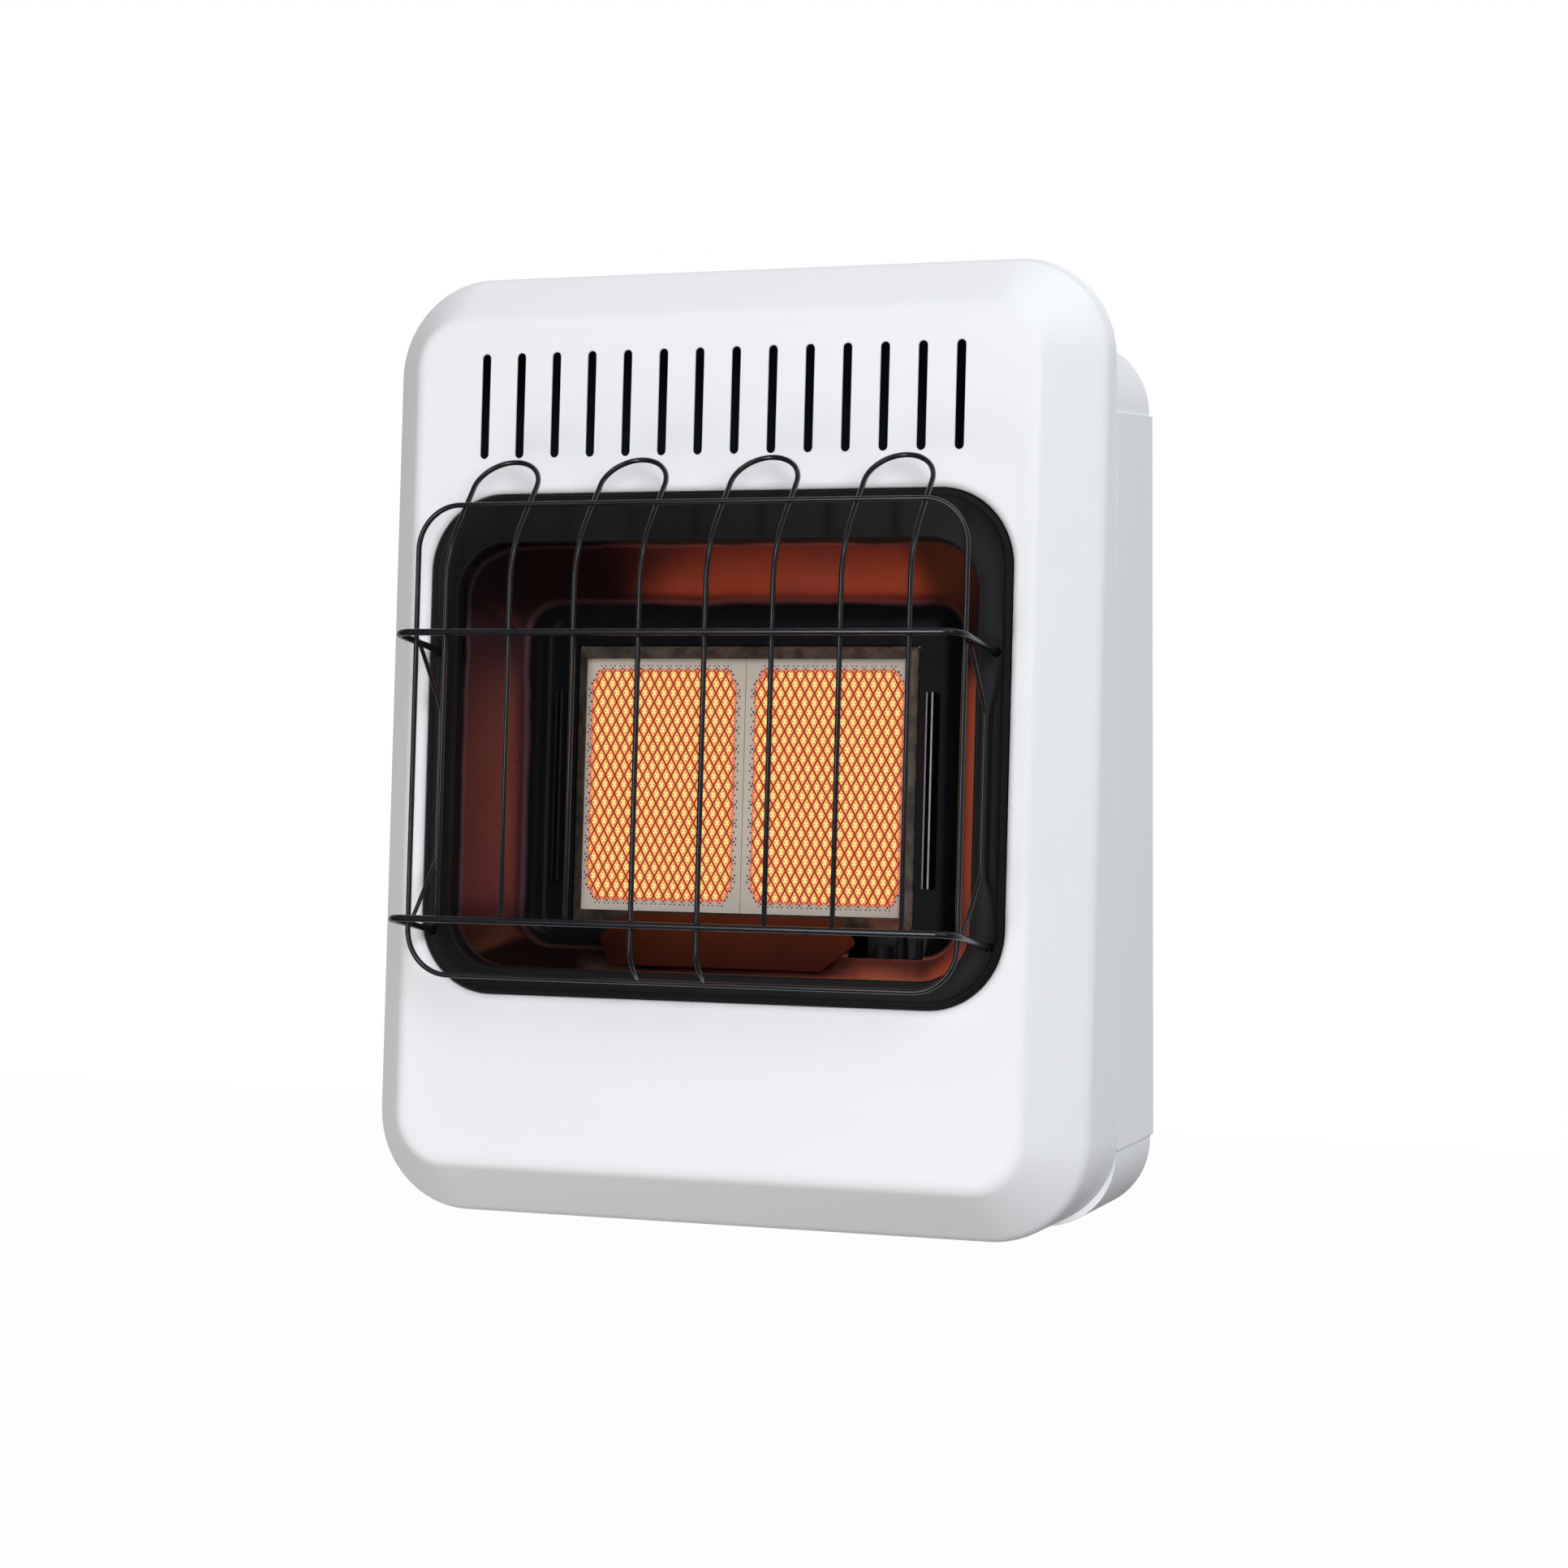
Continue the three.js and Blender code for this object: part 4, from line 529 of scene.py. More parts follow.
# %% Glowing ceramic
DIAMOND_WIDE, DIAMOND_HIGH = 5.15, 9.2
HOLE_ASIDE, HOLE_ABOVE, HOLE_RADIUS = 1.1, 1.62, 0.45
GLOW_HALF_WIDE, GLOW_HALF_HIGH, GLOW_CUT = 39.5, 57.9, 13.1
GROOVE_HALF = 0.3
GROOVE_UNIT = float(np.hypot(1 / DIAMOND_WIDE, 1 / DIAMOND_HIGH))
HOLE_EDGE, HOLE_SHADE, GROOVE_SOFT = (0.12, 0.18), (0.28, 0.1), 0.14       # millimetres out and in
FRAY, GLOW_EDGE, FULL_GLOW, PIERCED_RIM = 3.0, (-0.35, 0.35), (0.2, 2.6), (-2.2, -1.6)
HEAT_RISE, COOL_PATCH, HOLE_SHARE = (0.25, 1.25), 0.25, 0.85
# The glow from the groove's edge to the middle: place on the ramp and colour.
GLOW_RAMP = ((0.0, (0.72, 0.145, 0.052)), (0.34, (0.98, 0.46, 0.14)), (0.8, (1.0, 0.76, 0.27)))
EMBER, GROOVE_RED, HOLE_RED = (0.72, 0.17, 0.1), (0.2, 0.012, 0.006), (0.45, 0.07, 0.012)
# Painted light on the unburnt rim: a faint painted glow, and painted shade in its holes.
PAINTED_RIM_GLOW, BLACK = (0.085, 0.064, 0.05), (0.0, 0.0, 0.0)
BEIGE, STAINED_BEIGE = (0.5, 0.46, 0.405), (0.4, 0.363, 0.315)
PAINTED_HOLE_SHADE, BURNT = (0.045, 0.03, 0.028), (0.05, 0.02, 0.01)


def ceramic_material(name):
    """The pattern in nodes. The UV map holds millimetres from the tile's middle, across and up."""
    material, tree, shader = new_material(name)
    plane = node(tree, "ShaderNodeUVMap", uv_map="tile_face").outputs[0]
    across, above, _ = node(tree, "ShaderNodeSeparateXYZ", {0: plane}).outputs
    u, v = divided(across, DIAMOND_WIDE), divided(above, DIAMOND_HIGH)
    sums = plus(u, v), minus(u, v)
    nearest = larger(*[folded(value, 0.5) for value in sums])
    from_groove = divided(minus(0.5, nearest), GROOVE_UNIT)
    local = [minus(fraction(plus(value, 0.5)), 0.5) for value in sums]
    aside = size_of(times(plus(*local), DIAMOND_WIDE / 2))
    over = size_of(times(minus(*local), DIAMOND_HIGH / 2))

    def reach(first, second):
        return root_of(plus(times(first, first), times(second, second)))

    from_hole = smaller(reach(minus(aside, HOLE_ASIDE), over), reach(aside, minus(over, HOLE_ABOVE)))
    hole, wide_hole = [steps_between(from_hole, HOLE_RADIUS + out, HOLE_RADIUS - into)
                       for out, into in (HOLE_EDGE, HOLE_SHADE)]
    groove = steps_between(from_groove, GROOVE_HALF + GROOVE_SOFT, GROOVE_HALF - GROOVE_SOFT)

    where = object_place(tree)
    ragged, patch = noise(where, 420.0, 2.0), noise(where, 38.0, 3.0)
    side = minus(GLOW_HALF_WIDE, size_of(across))
    end = minus(GLOW_HALF_HIGH, size_of(above))
    corner = divided(minus(GLOW_CUT, plus(size_of(u), size_of(v))), GROOVE_UNIT)
    inside = smaller(smaller(side, end), corner)
    frayed = plus(inside, times(minus(ragged, 0.5), FRAY))
    glow, full = steps_between(frayed, *GLOW_EDGE), steps_between(frayed, *FULL_GLOW)

    heat = minus(steps_between(from_groove, *HEAT_RISE), times(patch, COOL_PATCH))
    ramp = node(tree, "ShaderNodeValToRGB", {0: heat})
    stops = ramp.color_ramp.elements
    stops.remove(stops[1])
    for index, (place, colour) in enumerate(GLOW_RAMP):
        stop = stops.new(place) if index else stops[0]
        stop.position, stop.color = place, (*colour, 1)
    hot = blend_colours(full, EMBER, ramp.outputs[0])
    fire = blend_colours(times(hole, HOLE_SHARE), blend_colours(groove, hot, GROOVE_RED), HOLE_RED)
    # Painted shade in the rim's holes, and a faint painted glow on the rim between them.
    shaded = times(wide_hole, steps_between(inside, *PIERCED_RIM))
    rim = blend_colours(shaded, blend_colours(patch, BEIGE, STAINED_BEIGE), PAINTED_HOLE_SHADE)
    fire = blend_colours(glow, blend_colours(shaded, PAINTED_RIM_GLOW, BLACK), fire)
    grit = node(tree, "ShaderNodeBump", {"Height": ragged, "Strength": 0.6, "Distance": 0.1 * MM})
    feed(shader, {"Base Color": blend_colours(glow, rim, BURNT), "Emission Color": fire,
                  "Emission Strength": 1.0, "Roughness": 0.9, "Specular IOR Level": 0.2,
                  "Normal": grit.outputs["Normal"]})
    return material


finishes["glowing_ceramic"] = ceramic_material("glowing_ceramic")
print("finishes:", sorted(finishes))

# %% [markdown]
# ## CAD nodes that stay
# Pieces inside the case and small parts behind it have the right shape already. They keep their
# CAD mesh and only get a finish of their own slot. A few of them show through the pilot's gap in the
# reflector and are painted black as shade, and the chassis plate behind the cover, seen through the
# slots, is painted a dark bluish zinc as shade.

# %% Dress the CAD nodes
PILOT_GAP_PARTS = ("heat_shield", "pilot_bracket", "burner_bracket_left", "burner_bracket_right", "pilot_burner",
          "thermocouple", "spark_electrode")
SHADE_FINISHES = dict.fromkeys(PILOT_GAP_PARTS, "shaded_black") | {"chassis_plate": "shaded_zinc"}
for entry in frame["record"]["subparts"]:
    mesh = frame["nodes"][entry["node"]].data
    mesh.materials.clear()
    mesh.materials.append(finishes[SHADE_FINISHES.get(entry["node"], entry["material_slot"])])
print("dressed:", len(frame["nodes"]))

# %% [markdown]
# ## Drawn front cover
# The cover is one sheet of steel, drawn in a press: a flat face with a soft crease, a sloping band,
# a rounded edge and a side wall that ends in a plane parallel to the wall. The opening has a rolled
# edge, and 14 slots are punched above it. A subdivided box with booleans could give this, but rings
# from the opening out to the rim keep every bend at its true radius.

# %% Drawn cover
SHEET = 1.0
FACE = dict(half=162.0, top=76.6, low=-341.1, corner=23.0)
OPENING = dict(half=153.0, top=-10.0, low=-257.5, corner=38.0)
WINDOW = dict(half=136.5, top=-34.2, low=-244.0, corner=26.0)
RIM = dict(half=188.6, top=100.0, low=-369.0, corner=48.0)
SEAM_Y = -61.7
LIP_RADIUS, LIP_DEPTH, FLAT_EDGE = 4.0, 6.0, 0.35


def grown(size, grow, depth):
    """A ring of a named opening or face, grown outwards by the same amount all round."""
    return rounded(size["half"] + grow, size["top"] + grow, size["low"] - grow,
                   size["corner"] + grow, depth)


def rim_ring(inset):
    """The cover's rear rim: a rounded rectangle in a plane parallel to the wall."""
    return on_face(grown(RIM, -inset, SEAM_Y))


CREASE_FOOT, BAND_SLOPE = 0.99, np.arctan2(24.1, 20.2)
CREASE_REACH, EDGE_REACH, WALL_OUT = 4.8, 4.5, 26.38
SIDE_WALL_SHARES = (0.3, 0.6, 0.9, 1.0)


def face_profile(wall):
    """How far the skin grows out of the face and how deep it lies, from the crease to the side wall.
    The inner skin is the same line moved in by the wall."""
    along = np.array([np.cos(BAND_SLOPE), np.sin(BAND_SLOPE)])
    foot = np.array([CREASE_FOOT, 0.0])
    top = foot + along * (WALL_OUT - CREASE_FOOT) / along[0]
    crease = bend_between(foot - [CREASE_REACH, 0], foot, foot + along * CREASE_REACH, 12)
    edge = bend_between(top - along * EDGE_REACH, top, top + [0, EDGE_REACH], 10)
    line = np.concatenate((crease, edge))
    tangent = np.gradient(line, axis=0)
    tangent /= np.linalg.norm(tangent, axis=1, keepdims=True)
    inside = np.column_stack((-tangent[:, 1], tangent[:, 0]))
    return line + inside * wall


def cover_skin(wall):
    """Rings from the rolled edge's end to the rim, in two parts with the flat face between them."""
    turn = np.linspace(np.pi / 2, 0, 9)
    roll = LIP_RADIUS - wall
    lip = [grown(OPENING, wall, LIP_DEPTH)]
    lip += [grown(OPENING, LIP_RADIUS - roll * np.sin(angle), LIP_RADIUS - roll * np.cos(angle))
            for angle in turn]
    lip += [grown(OPENING, LIP_RADIUS + FLAT_EDGE, wall)]
    line = face_profile(wall)
    outer = [grown(FACE, line[0, 0] - FLAT_EDGE, wall)]
    outer += [grown(FACE, out, depth) for out, depth in line]
    last, rim = outer[-1], rim_ring(wall)
    outer += [last * (1 - share) + rim * share for share in SIDE_WALL_SHARES]
    return np.array(lip), np.array(outer)


SLOT_COUNT, SLOT_PITCH, SLOT_WIDTH, SLOT_TOP, SLOT_LENGTH = 14, 19.25, 4.7, 60.1, 52.3
SLOT_ROUND, SLOT_BORDER = 0.35, 0.9


def slot_ring(x, grow, depth):
    """A slot with round ends: two half circles joined by straight sides."""
    radius = SLOT_WIDTH / 2
    turn = np.linspace(0, np.pi, 13)[:, None]
    half = (radius + grow) * np.hstack((np.cos(turn), np.sin(turn)))
    top, low = half + [x, SLOT_TOP - radius], [x, SLOT_TOP - SLOT_LENGTH + radius] - half
    return np.insert(np.concatenate((top, low)), 1, depth, axis=1)


slot_places = (np.arange(SLOT_COUNT) - (SLOT_COUNT - 1) / 2) * SLOT_PITCH
lip_out, skin_out = cover_skin(0.0)
lip_in, skin_in = cover_skin(SHEET)
slot_bend = [(SLOT_ROUND * (1 - np.sin(angle)), SLOT_ROUND * (1 - np.cos(angle)))
             for angle in np.linspace(0, np.pi / 2, 5)]
slot_walls = [loft([slot_ring(x, grow, depth)
                    for grow, depth in ((SLOT_BORDER, 0.0), *slot_bend, (0.0, SHEET))])
              for x in slot_places]
front_plate = flat_fill(skin_out[0], lip_out[-1],
                        *[slot_ring(x, SLOT_BORDER, 0.0) for x in slot_places])
inner_plate = flat_fill(skin_in[0], lip_in[-1], *[slot_ring(x, 0.0, SHEET) for x in slot_places])
cover = together(loft(lip_out), loft(skin_out), front_plate, loft(lip_in), loft(skin_in), inner_plate,
                 loft([lip_out[0], lip_in[0]]), loft([skin_out[-1], skin_in[-1]]), *slot_walls)
piece("drawn_cover", leaned(cover), "white_paint", "front_cover")

# %% [markdown]
# ## Trim ring
# A black ring fills the edge of the opening, almost level with the face, and its hidden flange is
# held behind the cover's rolled edge. Near its outer edge it has a low bead that catches a thin line
# of light. It slopes a little towards the room, and its inner edge turns back into the reflector. It
# is again a stack of rings, with a smooth cubic through the bead, and four holes for the rails' ends.

# %% Trim ring
TRIM_BACK, TRIM_FACE, TRIM_TILT, TRIM_SHEET, TRIM_RETURN = 6.3, 1.4, 2.2, 0.9, 3.2
BEAD_WIDE, BEAD_RISE, SEAT = 1.4, 0.9, 0.3
SHOULDER_DOWN, SHOULDER_ACROSS, TURN_ROUND, TURN_DOWN = 0.5, 0.4, 1.9, 0.35
bead_line = [(0.5, 0.0), (1.0, 0.72), (1.7, 1.0), (2.4, 0.72), (3.0, 0.4)]
bead = through([grown(OPENING, -BEAD_WIDE * inward, TRIM_FACE - BEAD_RISE * rise)
                for inward, rise in bead_line], 5)
inner = TRIM_FACE - TRIM_TILT
shoulder = bend_between(grown(OPENING, -SEAT, TRIM_FACE + SHOULDER_DOWN),
                        grown(OPENING, -SEAT, TRIM_FACE),
                        grown(OPENING, -SEAT - SHOULDER_ACROSS, TRIM_FACE), 4)
turn_in = bend_between(grown(WINDOW, TURN_ROUND, inner + TURN_DOWN), grown(WINDOW, 0.0, inner),
                       grown(WINDOW, 0.0, inner + TURN_ROUND), 10)
trim_rings = [grown(OPENING, LIP_RADIUS, TRIM_BACK), grown(OPENING, -SEAT, TRIM_BACK), *shoulder, *bead,
              *turn_in, grown(WINDOW, 0.0, TRIM_FACE + TRIM_RETURN),
              grown(WINDOW, TRIM_SHEET, TRIM_FACE + TRIM_RETURN),
              grown(WINDOW, TRIM_SHEET, inner + 2 * TRIM_SHEET),
              grown(OPENING, -SEAT - TRIM_SHEET, TRIM_FACE + TRIM_SHEET),
              grown(OPENING, -SEAT - TRIM_SHEET, TRIM_BACK + TRIM_SHEET),
              grown(OPENING, LIP_RADIUS, TRIM_BACK + TRIM_SHEET)]
RAIL_HOLE_HALF, RAIL_UPPER, RAIL_LOWER, RAIL_DROP, RAIL_WIRE = 146.2, 82.2, 221.0, 6.0, 3.4
RAIL_PLAY, HOLE_REACH = 0.5, 5.0


def peg(centre, radius, axis, ends, sides):
    """A straight round tool along an axis (1 or 2), between two places on it."""
    turn = np.linspace(0, 2 * np.pi, sides, endpoint=False)
    circle = centre + radius * np.stack((np.cos(turn), np.sin(turn)), -1)
    return solid_between(*[np.insert(circle, axis, end, axis=1) for end in ends])


rail_holes = [peg((side * RAIL_HOLE_HALF, -height - RAIL_DROP), RAIL_WIRE / 2 + RAIL_PLAY, 1,
                  (-HOLE_REACH, HOLE_REACH), 32)
              for side in (-1, 1) for height in (RAIL_UPPER, RAIL_LOWER)]
piece("beaded_trim", leaned(loft(trim_rings, closed_rows=True)), "black_paint", "trim_ring",
      tools=[leaned(hole) for hole in rail_holes], sharp=40)

# %% [markdown]
# ## Reflector pan
# Behind the trim, the walls of a dark steel pan flare in to a floor round the burner. It mirrors the
# tiles, so its walls glow red where they face them, helped by painted reflection in its finish.
# Straight rings make the walls, and a wide bend leads into the floor. A square piece is cut out at
# the lower right for the pilot.

# %% Reflector pan
PAN_FRONT, PAN_SHEET, PAN_FLANGE, MOUTH = 2.6, 0.8, 5.0, 1.2
FLOOR = dict(half=114.6, top=-63.5, low=-232.0, corner=16.0)
FLOOR_DEPTH, BURNER_MIDDLE = 46.0, -151.6
FRAME_HALF, FRAME_HIGH, FRAME_CORNER = 91.3, 69.6, 0.3
WALL_FOOT, WALL_FOOT_DEPTH, FLOOR_BEND, MOUTH_ROUND, FRAME_PLAY = 1.92, 42.0, 9.0, 1.4, 0.3
WALL_STOP, BEND_START, FLOOR_SHARES = 0.72, 0.78, (0.15, 0.6, 1.0)      # shares of the wall and floor


def burner_ring(half, high, depth):
    """A ring round the burner's middle."""
    return rounded(half, BURNER_MIDDLE + high, BURNER_MIDDLE - high, FRAME_CORNER, depth)


def pan_skin(wall):
    """Rings from the flange over the flared walls to the hole for the burner."""
    grow, front, floor_depth = MOUTH + wall, PAN_FRONT + wall, FLOOR_DEPTH + wall
    mouth = grown(WINDOW, grow, PAN_FRONT + TRIM_RETURN)
    foot = grown(FLOOR, WALL_FOOT + wall, WALL_FOOT_DEPTH)
    meet = mouth + (foot - mouth) * (floor_depth - mouth[0, 1]) / (WALL_FOOT_DEPTH - mouth[0, 1])
    walls = [mouth + (foot - mouth) * share for share in np.linspace(0, WALL_STOP, 7)]
    bend = bend_between(mouth + (foot - mouth) * BEND_START, meet,
                        grown(FLOOR, -FLOOR_BEND, floor_depth), 12)
    lip = bend_between(grown(WINDOW, grow + MOUTH_ROUND, front), grown(WINDOW, grow, front),
                       grown(WINDOW, grow, front + MOUTH_ROUND), 5)
    hole = burner_ring(FRAME_HALF + FRAME_PLAY, FRAME_HIGH + FRAME_PLAY, floor_depth)
    floor = [bend[-1] + (hole - bend[-1]) * share for share in FLOOR_SHARES]
    return [grown(WINDOW, MOUTH + PAN_FLANGE, front), *lip, *walls, *bend, *floor]


PILOT_GAP = (60.0, 99.0, 38.5, 48.5, -240.0, -221.3)       # across, depth and height, from and to


def box_tool(x0, x1, depth0, depth1, height0, height1):
    """A straight block as a tool: two four-cornered rings and their fills."""
    return solid_between(*[np.array([(x0, depth, height0), (x1, depth, height0), (x1, depth, height1),
                                     (x0, depth, height1)]) for depth in (depth0, depth1)])


pan = loft([*pan_skin(0.0), *pan_skin(PAN_SHEET)[::-1]], closed_rows=True)
piece("flared_reflector", leaned(pan), "heated_steel", "reflector_pan",
      tools=[leaned(box_tool(*PILOT_GAP))], sharp=40)

# %% [markdown]
# ## Burner frame and tiles
# A pressed frame with open mitred corners holds the tiles. The tiles' faces are height fields: a
# fine grid whose points sink into the grooves and the holes by the same arithmetic as their finish.

# %% Burner frame
FRAME_LIP_HALF, FRAME_LIP_HIGH, FRAME_LIP, FRAME_DROP, FRAME_SKIRT = 85.6, 63.0, 44.29, 3.0, 20.0
NOTCH, NOTCH_FRONT, NOTCH_BACK, EASE_SHARE, EASE_DEPTH = 3.4, 40.0, 48.2, 0.14, 0.9


def frame_skin(wall):
    """The frame from its lip down its slope and round the outer bend to the end of the skirt."""
    front = FRAME_LIP - SHEET + wall
    back = front + FRAME_DROP
    outer_half, outer_high = FRAME_HALF - wall, FRAME_HIGH - wall
    lip = burner_ring(FRAME_LIP_HALF, FRAME_LIP_HIGH, front)
    corner = burner_ring(outer_half, outer_high, back)
    ease = bend_between(corner + (lip - corner) * EASE_SHARE, corner, corner + [0, EASE_DEPTH, 0], 4)
    skirt = burner_ring(outer_half, outer_high, FRAME_LIP + FRAME_DROP + FRAME_SKIRT)
    return [lip, lip + (corner - lip) * 0.5, *ease, skirt]


def notch_tool(side, end):
    """A square bar along the depth, stood on its corner, at one corner of the frame."""
    centre = (side * FRAME_HALF, BURNER_MIDDLE + end * FRAME_HIGH)
    return peg(centre, NOTCH / np.sqrt(2), 1, (NOTCH_FRONT, NOTCH_BACK), 4)


pressed = loft([*frame_skin(0.0), *frame_skin(SHEET)[::-1]], closed_rows=True)
piece("pressed_burner_frame", leaned(pressed), "burner_steel", "burner_frame",
      tools=[leaned(notch_tool(side, end)) for side in (-1, 1) for end in (-1, 1)], sharp=30)

# %% Ceramic tiles
TILE_WIDE, TILE_HIGH, TILE_THICK, TILE_FRONT, TILE_SEAM = 88.3, 132.0, 13.0, 46.3, 0.5
GROOVE_DEPTH, HOLE_DEPTH = 0.45, 0.8


def sunk(across, above):
    """How far the face is sunk: a groove where u + v or u - v ends in a half, a pit at each hole."""
    u, v = across / DIAMOND_WIDE, above / DIAMOND_HIGH
    total, apart = u + v, u - v
    local = [value - np.round(value) for value in (total, apart)]
    from_groove = (0.5 - np.maximum(np.abs(local[0]), np.abs(local[1]))) / GROOVE_UNIT
    aside = np.abs((local[0] + local[1]) * DIAMOND_WIDE / 2)
    over = np.abs((local[0] - local[1]) * DIAMOND_HIGH / 2)
    from_hole = np.minimum(np.hypot(aside - HOLE_ASIDE, over), np.hypot(aside, over - HOLE_ABOVE))
    inside = np.minimum(GLOW_HALF_WIDE - np.abs(across), GLOW_HALF_HIGH - np.abs(above))
    inside = np.minimum(inside, (GLOW_CUT - np.abs(u) - np.abs(v)) / GROOVE_UNIT)
    groove = GROOVE_DEPTH * np.clip((GROOVE_HALF + 0.25 - from_groove) / 0.5, 0, 1) * (inside > 0)
    pit = HOLE_DEPTH * np.clip((HOLE_RADIUS + 0.2 - from_hole) / 0.4, 0, 1) * (inside > -2)
    return np.maximum(groove, pit)


def tile_shape(side):
    """A grid over the tile's face, sunk by the pattern, closed by its four edges and its back."""
    middle = side * (TILE_SEAM + TILE_WIDE) / 2
    across = np.linspace(-TILE_WIDE / 2, TILE_WIDE / 2, 206)
    above = np.linspace(-TILE_HIGH / 2, TILE_HIGH / 2, 288)
    wide, high = np.meshgrid(across, above)
    face = np.stack((middle + wide, TILE_FRONT + sunk(wide, high), BURNER_MIDDLE + high), -1)
    border = np.concatenate((face[0, :-1], face[:-1, -1], face[-1, :0:-1], face[:0:-1, 0]))
    back = border * [1, 0, 1] + [0, TILE_FRONT + TILE_THICK, 0]
    return together(loft(face, closed_columns=False), loft([border, back]), flat_fill(back)), middle


for side, word in SIDES:
    shape, middle = tile_shape(side)
    tile = piece(f"{word}_glow_tile", leaned(shape), "glowing_ceramic", f"ceramic_tile_{word}", sharp=60)
    mesh = tile.data
    places = np.empty(len(mesh.vertices) * 3)
    mesh.vertices.foreach_get("co", places)
    flat = on_face(places.reshape(-1, 3) / MM) - [middle, 0, BURNER_MIDDLE]
    corners = np.empty(len(mesh.loops), int)
    mesh.loops.foreach_get("vertex_index", corners)
    mesh.uv_layers.new(name="tile_face").data.foreach_set("uv", flat[corners][:, [0, 2]].ravel())

# %% [markdown]
# ## Bright strips and lower deflector
# A narrow pressed channel stands on the pan's floor on each side of the burner. On the right one,
# two bright lines are painted highlights on its crests, with painted shade between them, and the
# left one is painted black as shade. Under the tiles, a small sloping plate keeps the heat off the
# lower edge. Both are outlines that are pushed along one direction.

# %% Strips and deflector
def pushed(outline, along):
    """A flat outline pushed along a vector: its two ends filled, its edge joined."""
    return solid_between(outline, outline + along)


STRIP_FOOT, STRIP_FRONT, STRIP_TOP, STRIP_LOW, STRIP_X = 45.7, 40.0, -104.8, -200.2, 99.2
RIDGES, VALLEY_DEEP = ((-1.5, 0.42), (1.35, 0.55)), 3.2                # place and radius of each ridge
CREST_SOFT, SHADE_FROM, SHADE_FULL = 0.3, 0.22, 0.5
swing = np.linspace(0, np.pi, 9)
ridges = [np.stack((place - radius * np.cos(swing), STRIP_FRONT + radius - radius * np.sin(swing)), -1)
          for place, radius in RIDGES]
valley_floor = [(-0.9, STRIP_FRONT + VALLEY_DEEP), (0.7, STRIP_FRONT + VALLEY_DEEP)]
section = np.concatenate(([(-1.92, STRIP_FOOT)], ridges[0], valley_floor, ridges[1], [(1.9, STRIP_FOOT)]))


def crest_material():
    """The channel's colour: painted highlights on the two crests, the right one brighter, and painted
    shade between them.
    """
    material = finish("painted_light_strip", (0.5, 0.56, 0.49), (0.36, 0.41, 0.35), 0.26, 0.38, metallic=0.35,
                      drift=(160.0, 0.8))
    shader = material.node_tree.nodes["Principled BSDF"]
    bright = shader.inputs["Base Color"].links[0].from_socket
    across, deep, _ = node(material.node_tree, "ShaderNodeGroup", node_tree=place_group).outputs
    right_crest = steps_between(across, (STRIP_X - CREST_SOFT) * MM, (STRIP_X + CREST_SOFT) * MM)
    valley_shade = steps_between(deep, (STRIP_FRONT + SHADE_FROM) * MM, (STRIP_FRONT + SHADE_FULL) * MM)
    # The left crest gets a dimmer painted highlight than the right one.
    colour = blend_colours(right_crest, (0.3, 0.305, 0.3), bright)
    feed(shader, {"Base Color": blend_colours(valley_shade, colour, (0.006, 0.006, 0.006))})
    return material


crest_material()
# The left strip is painted black as shade; the right one carries the painted highlights.
for side, word in SIDES:
    outline = np.insert(section + [side * STRIP_X, 0], 2, STRIP_LOW, axis=1)
    piece(f"{word}_painted_light_strip", leaned(pushed(outline, [0, 0, STRIP_TOP - STRIP_LOW])), "burner_steel",
          f"burner_strip_{word}", material=finishes["shaded_black" if side < 0 else "painted_light_strip"])

DEFLECTOR_TOP, DEFLECTOR_HIGH, DEFLECTOR_DEPTH, DEFLECTOR_OUT = -215.5, 25.5, 41.0, 29.0
CORNER_ROUND, FOOT_X, FOOT_HALF = 3.0, 45.0, 6.0
FOOT_DEPTHS, FOOT_HEIGHTS = (33.9, 45.7), (-222.8, -222.0)
corners = np.array([(-59, 0), (54, 0), (69.5, 0.46), (57, 1), (-55, 1), (-67.5, 0.46)], float)
slope = np.column_stack((corners[:, 0], DEFLECTOR_DEPTH - DEFLECTOR_OUT * corners[:, 1],
                         DEFLECTOR_TOP - DEFLECTOR_HIGH * corners[:, 1]))
plate_edge = np.concatenate([
    bend_between(here + (a - here) * CORNER_ROUND / np.linalg.norm(a - here), here,
                 here + (b - here) * CORNER_ROUND / np.linalg.norm(b - here), 5)
    for here, a, b in zip(slope, np.roll(slope, 1, 0), np.roll(slope, -1, 0))])
thickness = (np.array([0, DEFLECTOR_HIGH, -DEFLECTOR_OUT]) / np.hypot(DEFLECTOR_HIGH, DEFLECTOR_OUT)
             * PAN_SHEET)
feet = [box_tool(x - FOOT_HALF, x + FOOT_HALF, *FOOT_DEPTHS, *FOOT_HEIGHTS) for x in (-FOOT_X, FOOT_X)]
piece("sloping_deflector", leaned(together(pushed(plate_edge, thickness), *feet)), "heated_steel",
      "lower_deflector", bevel=0.2, material=finishes["darker_red_steel"])

# %% [markdown]
# ## Wire guard
# The guard is welded from bent wire: a loop, two rails, four hoops and two side bows. Each is a
# circle carried along its path. At every point of the path the circle needs two directions square
# to the wire. They come from a cross product with one fixed direction that the wire never follows.

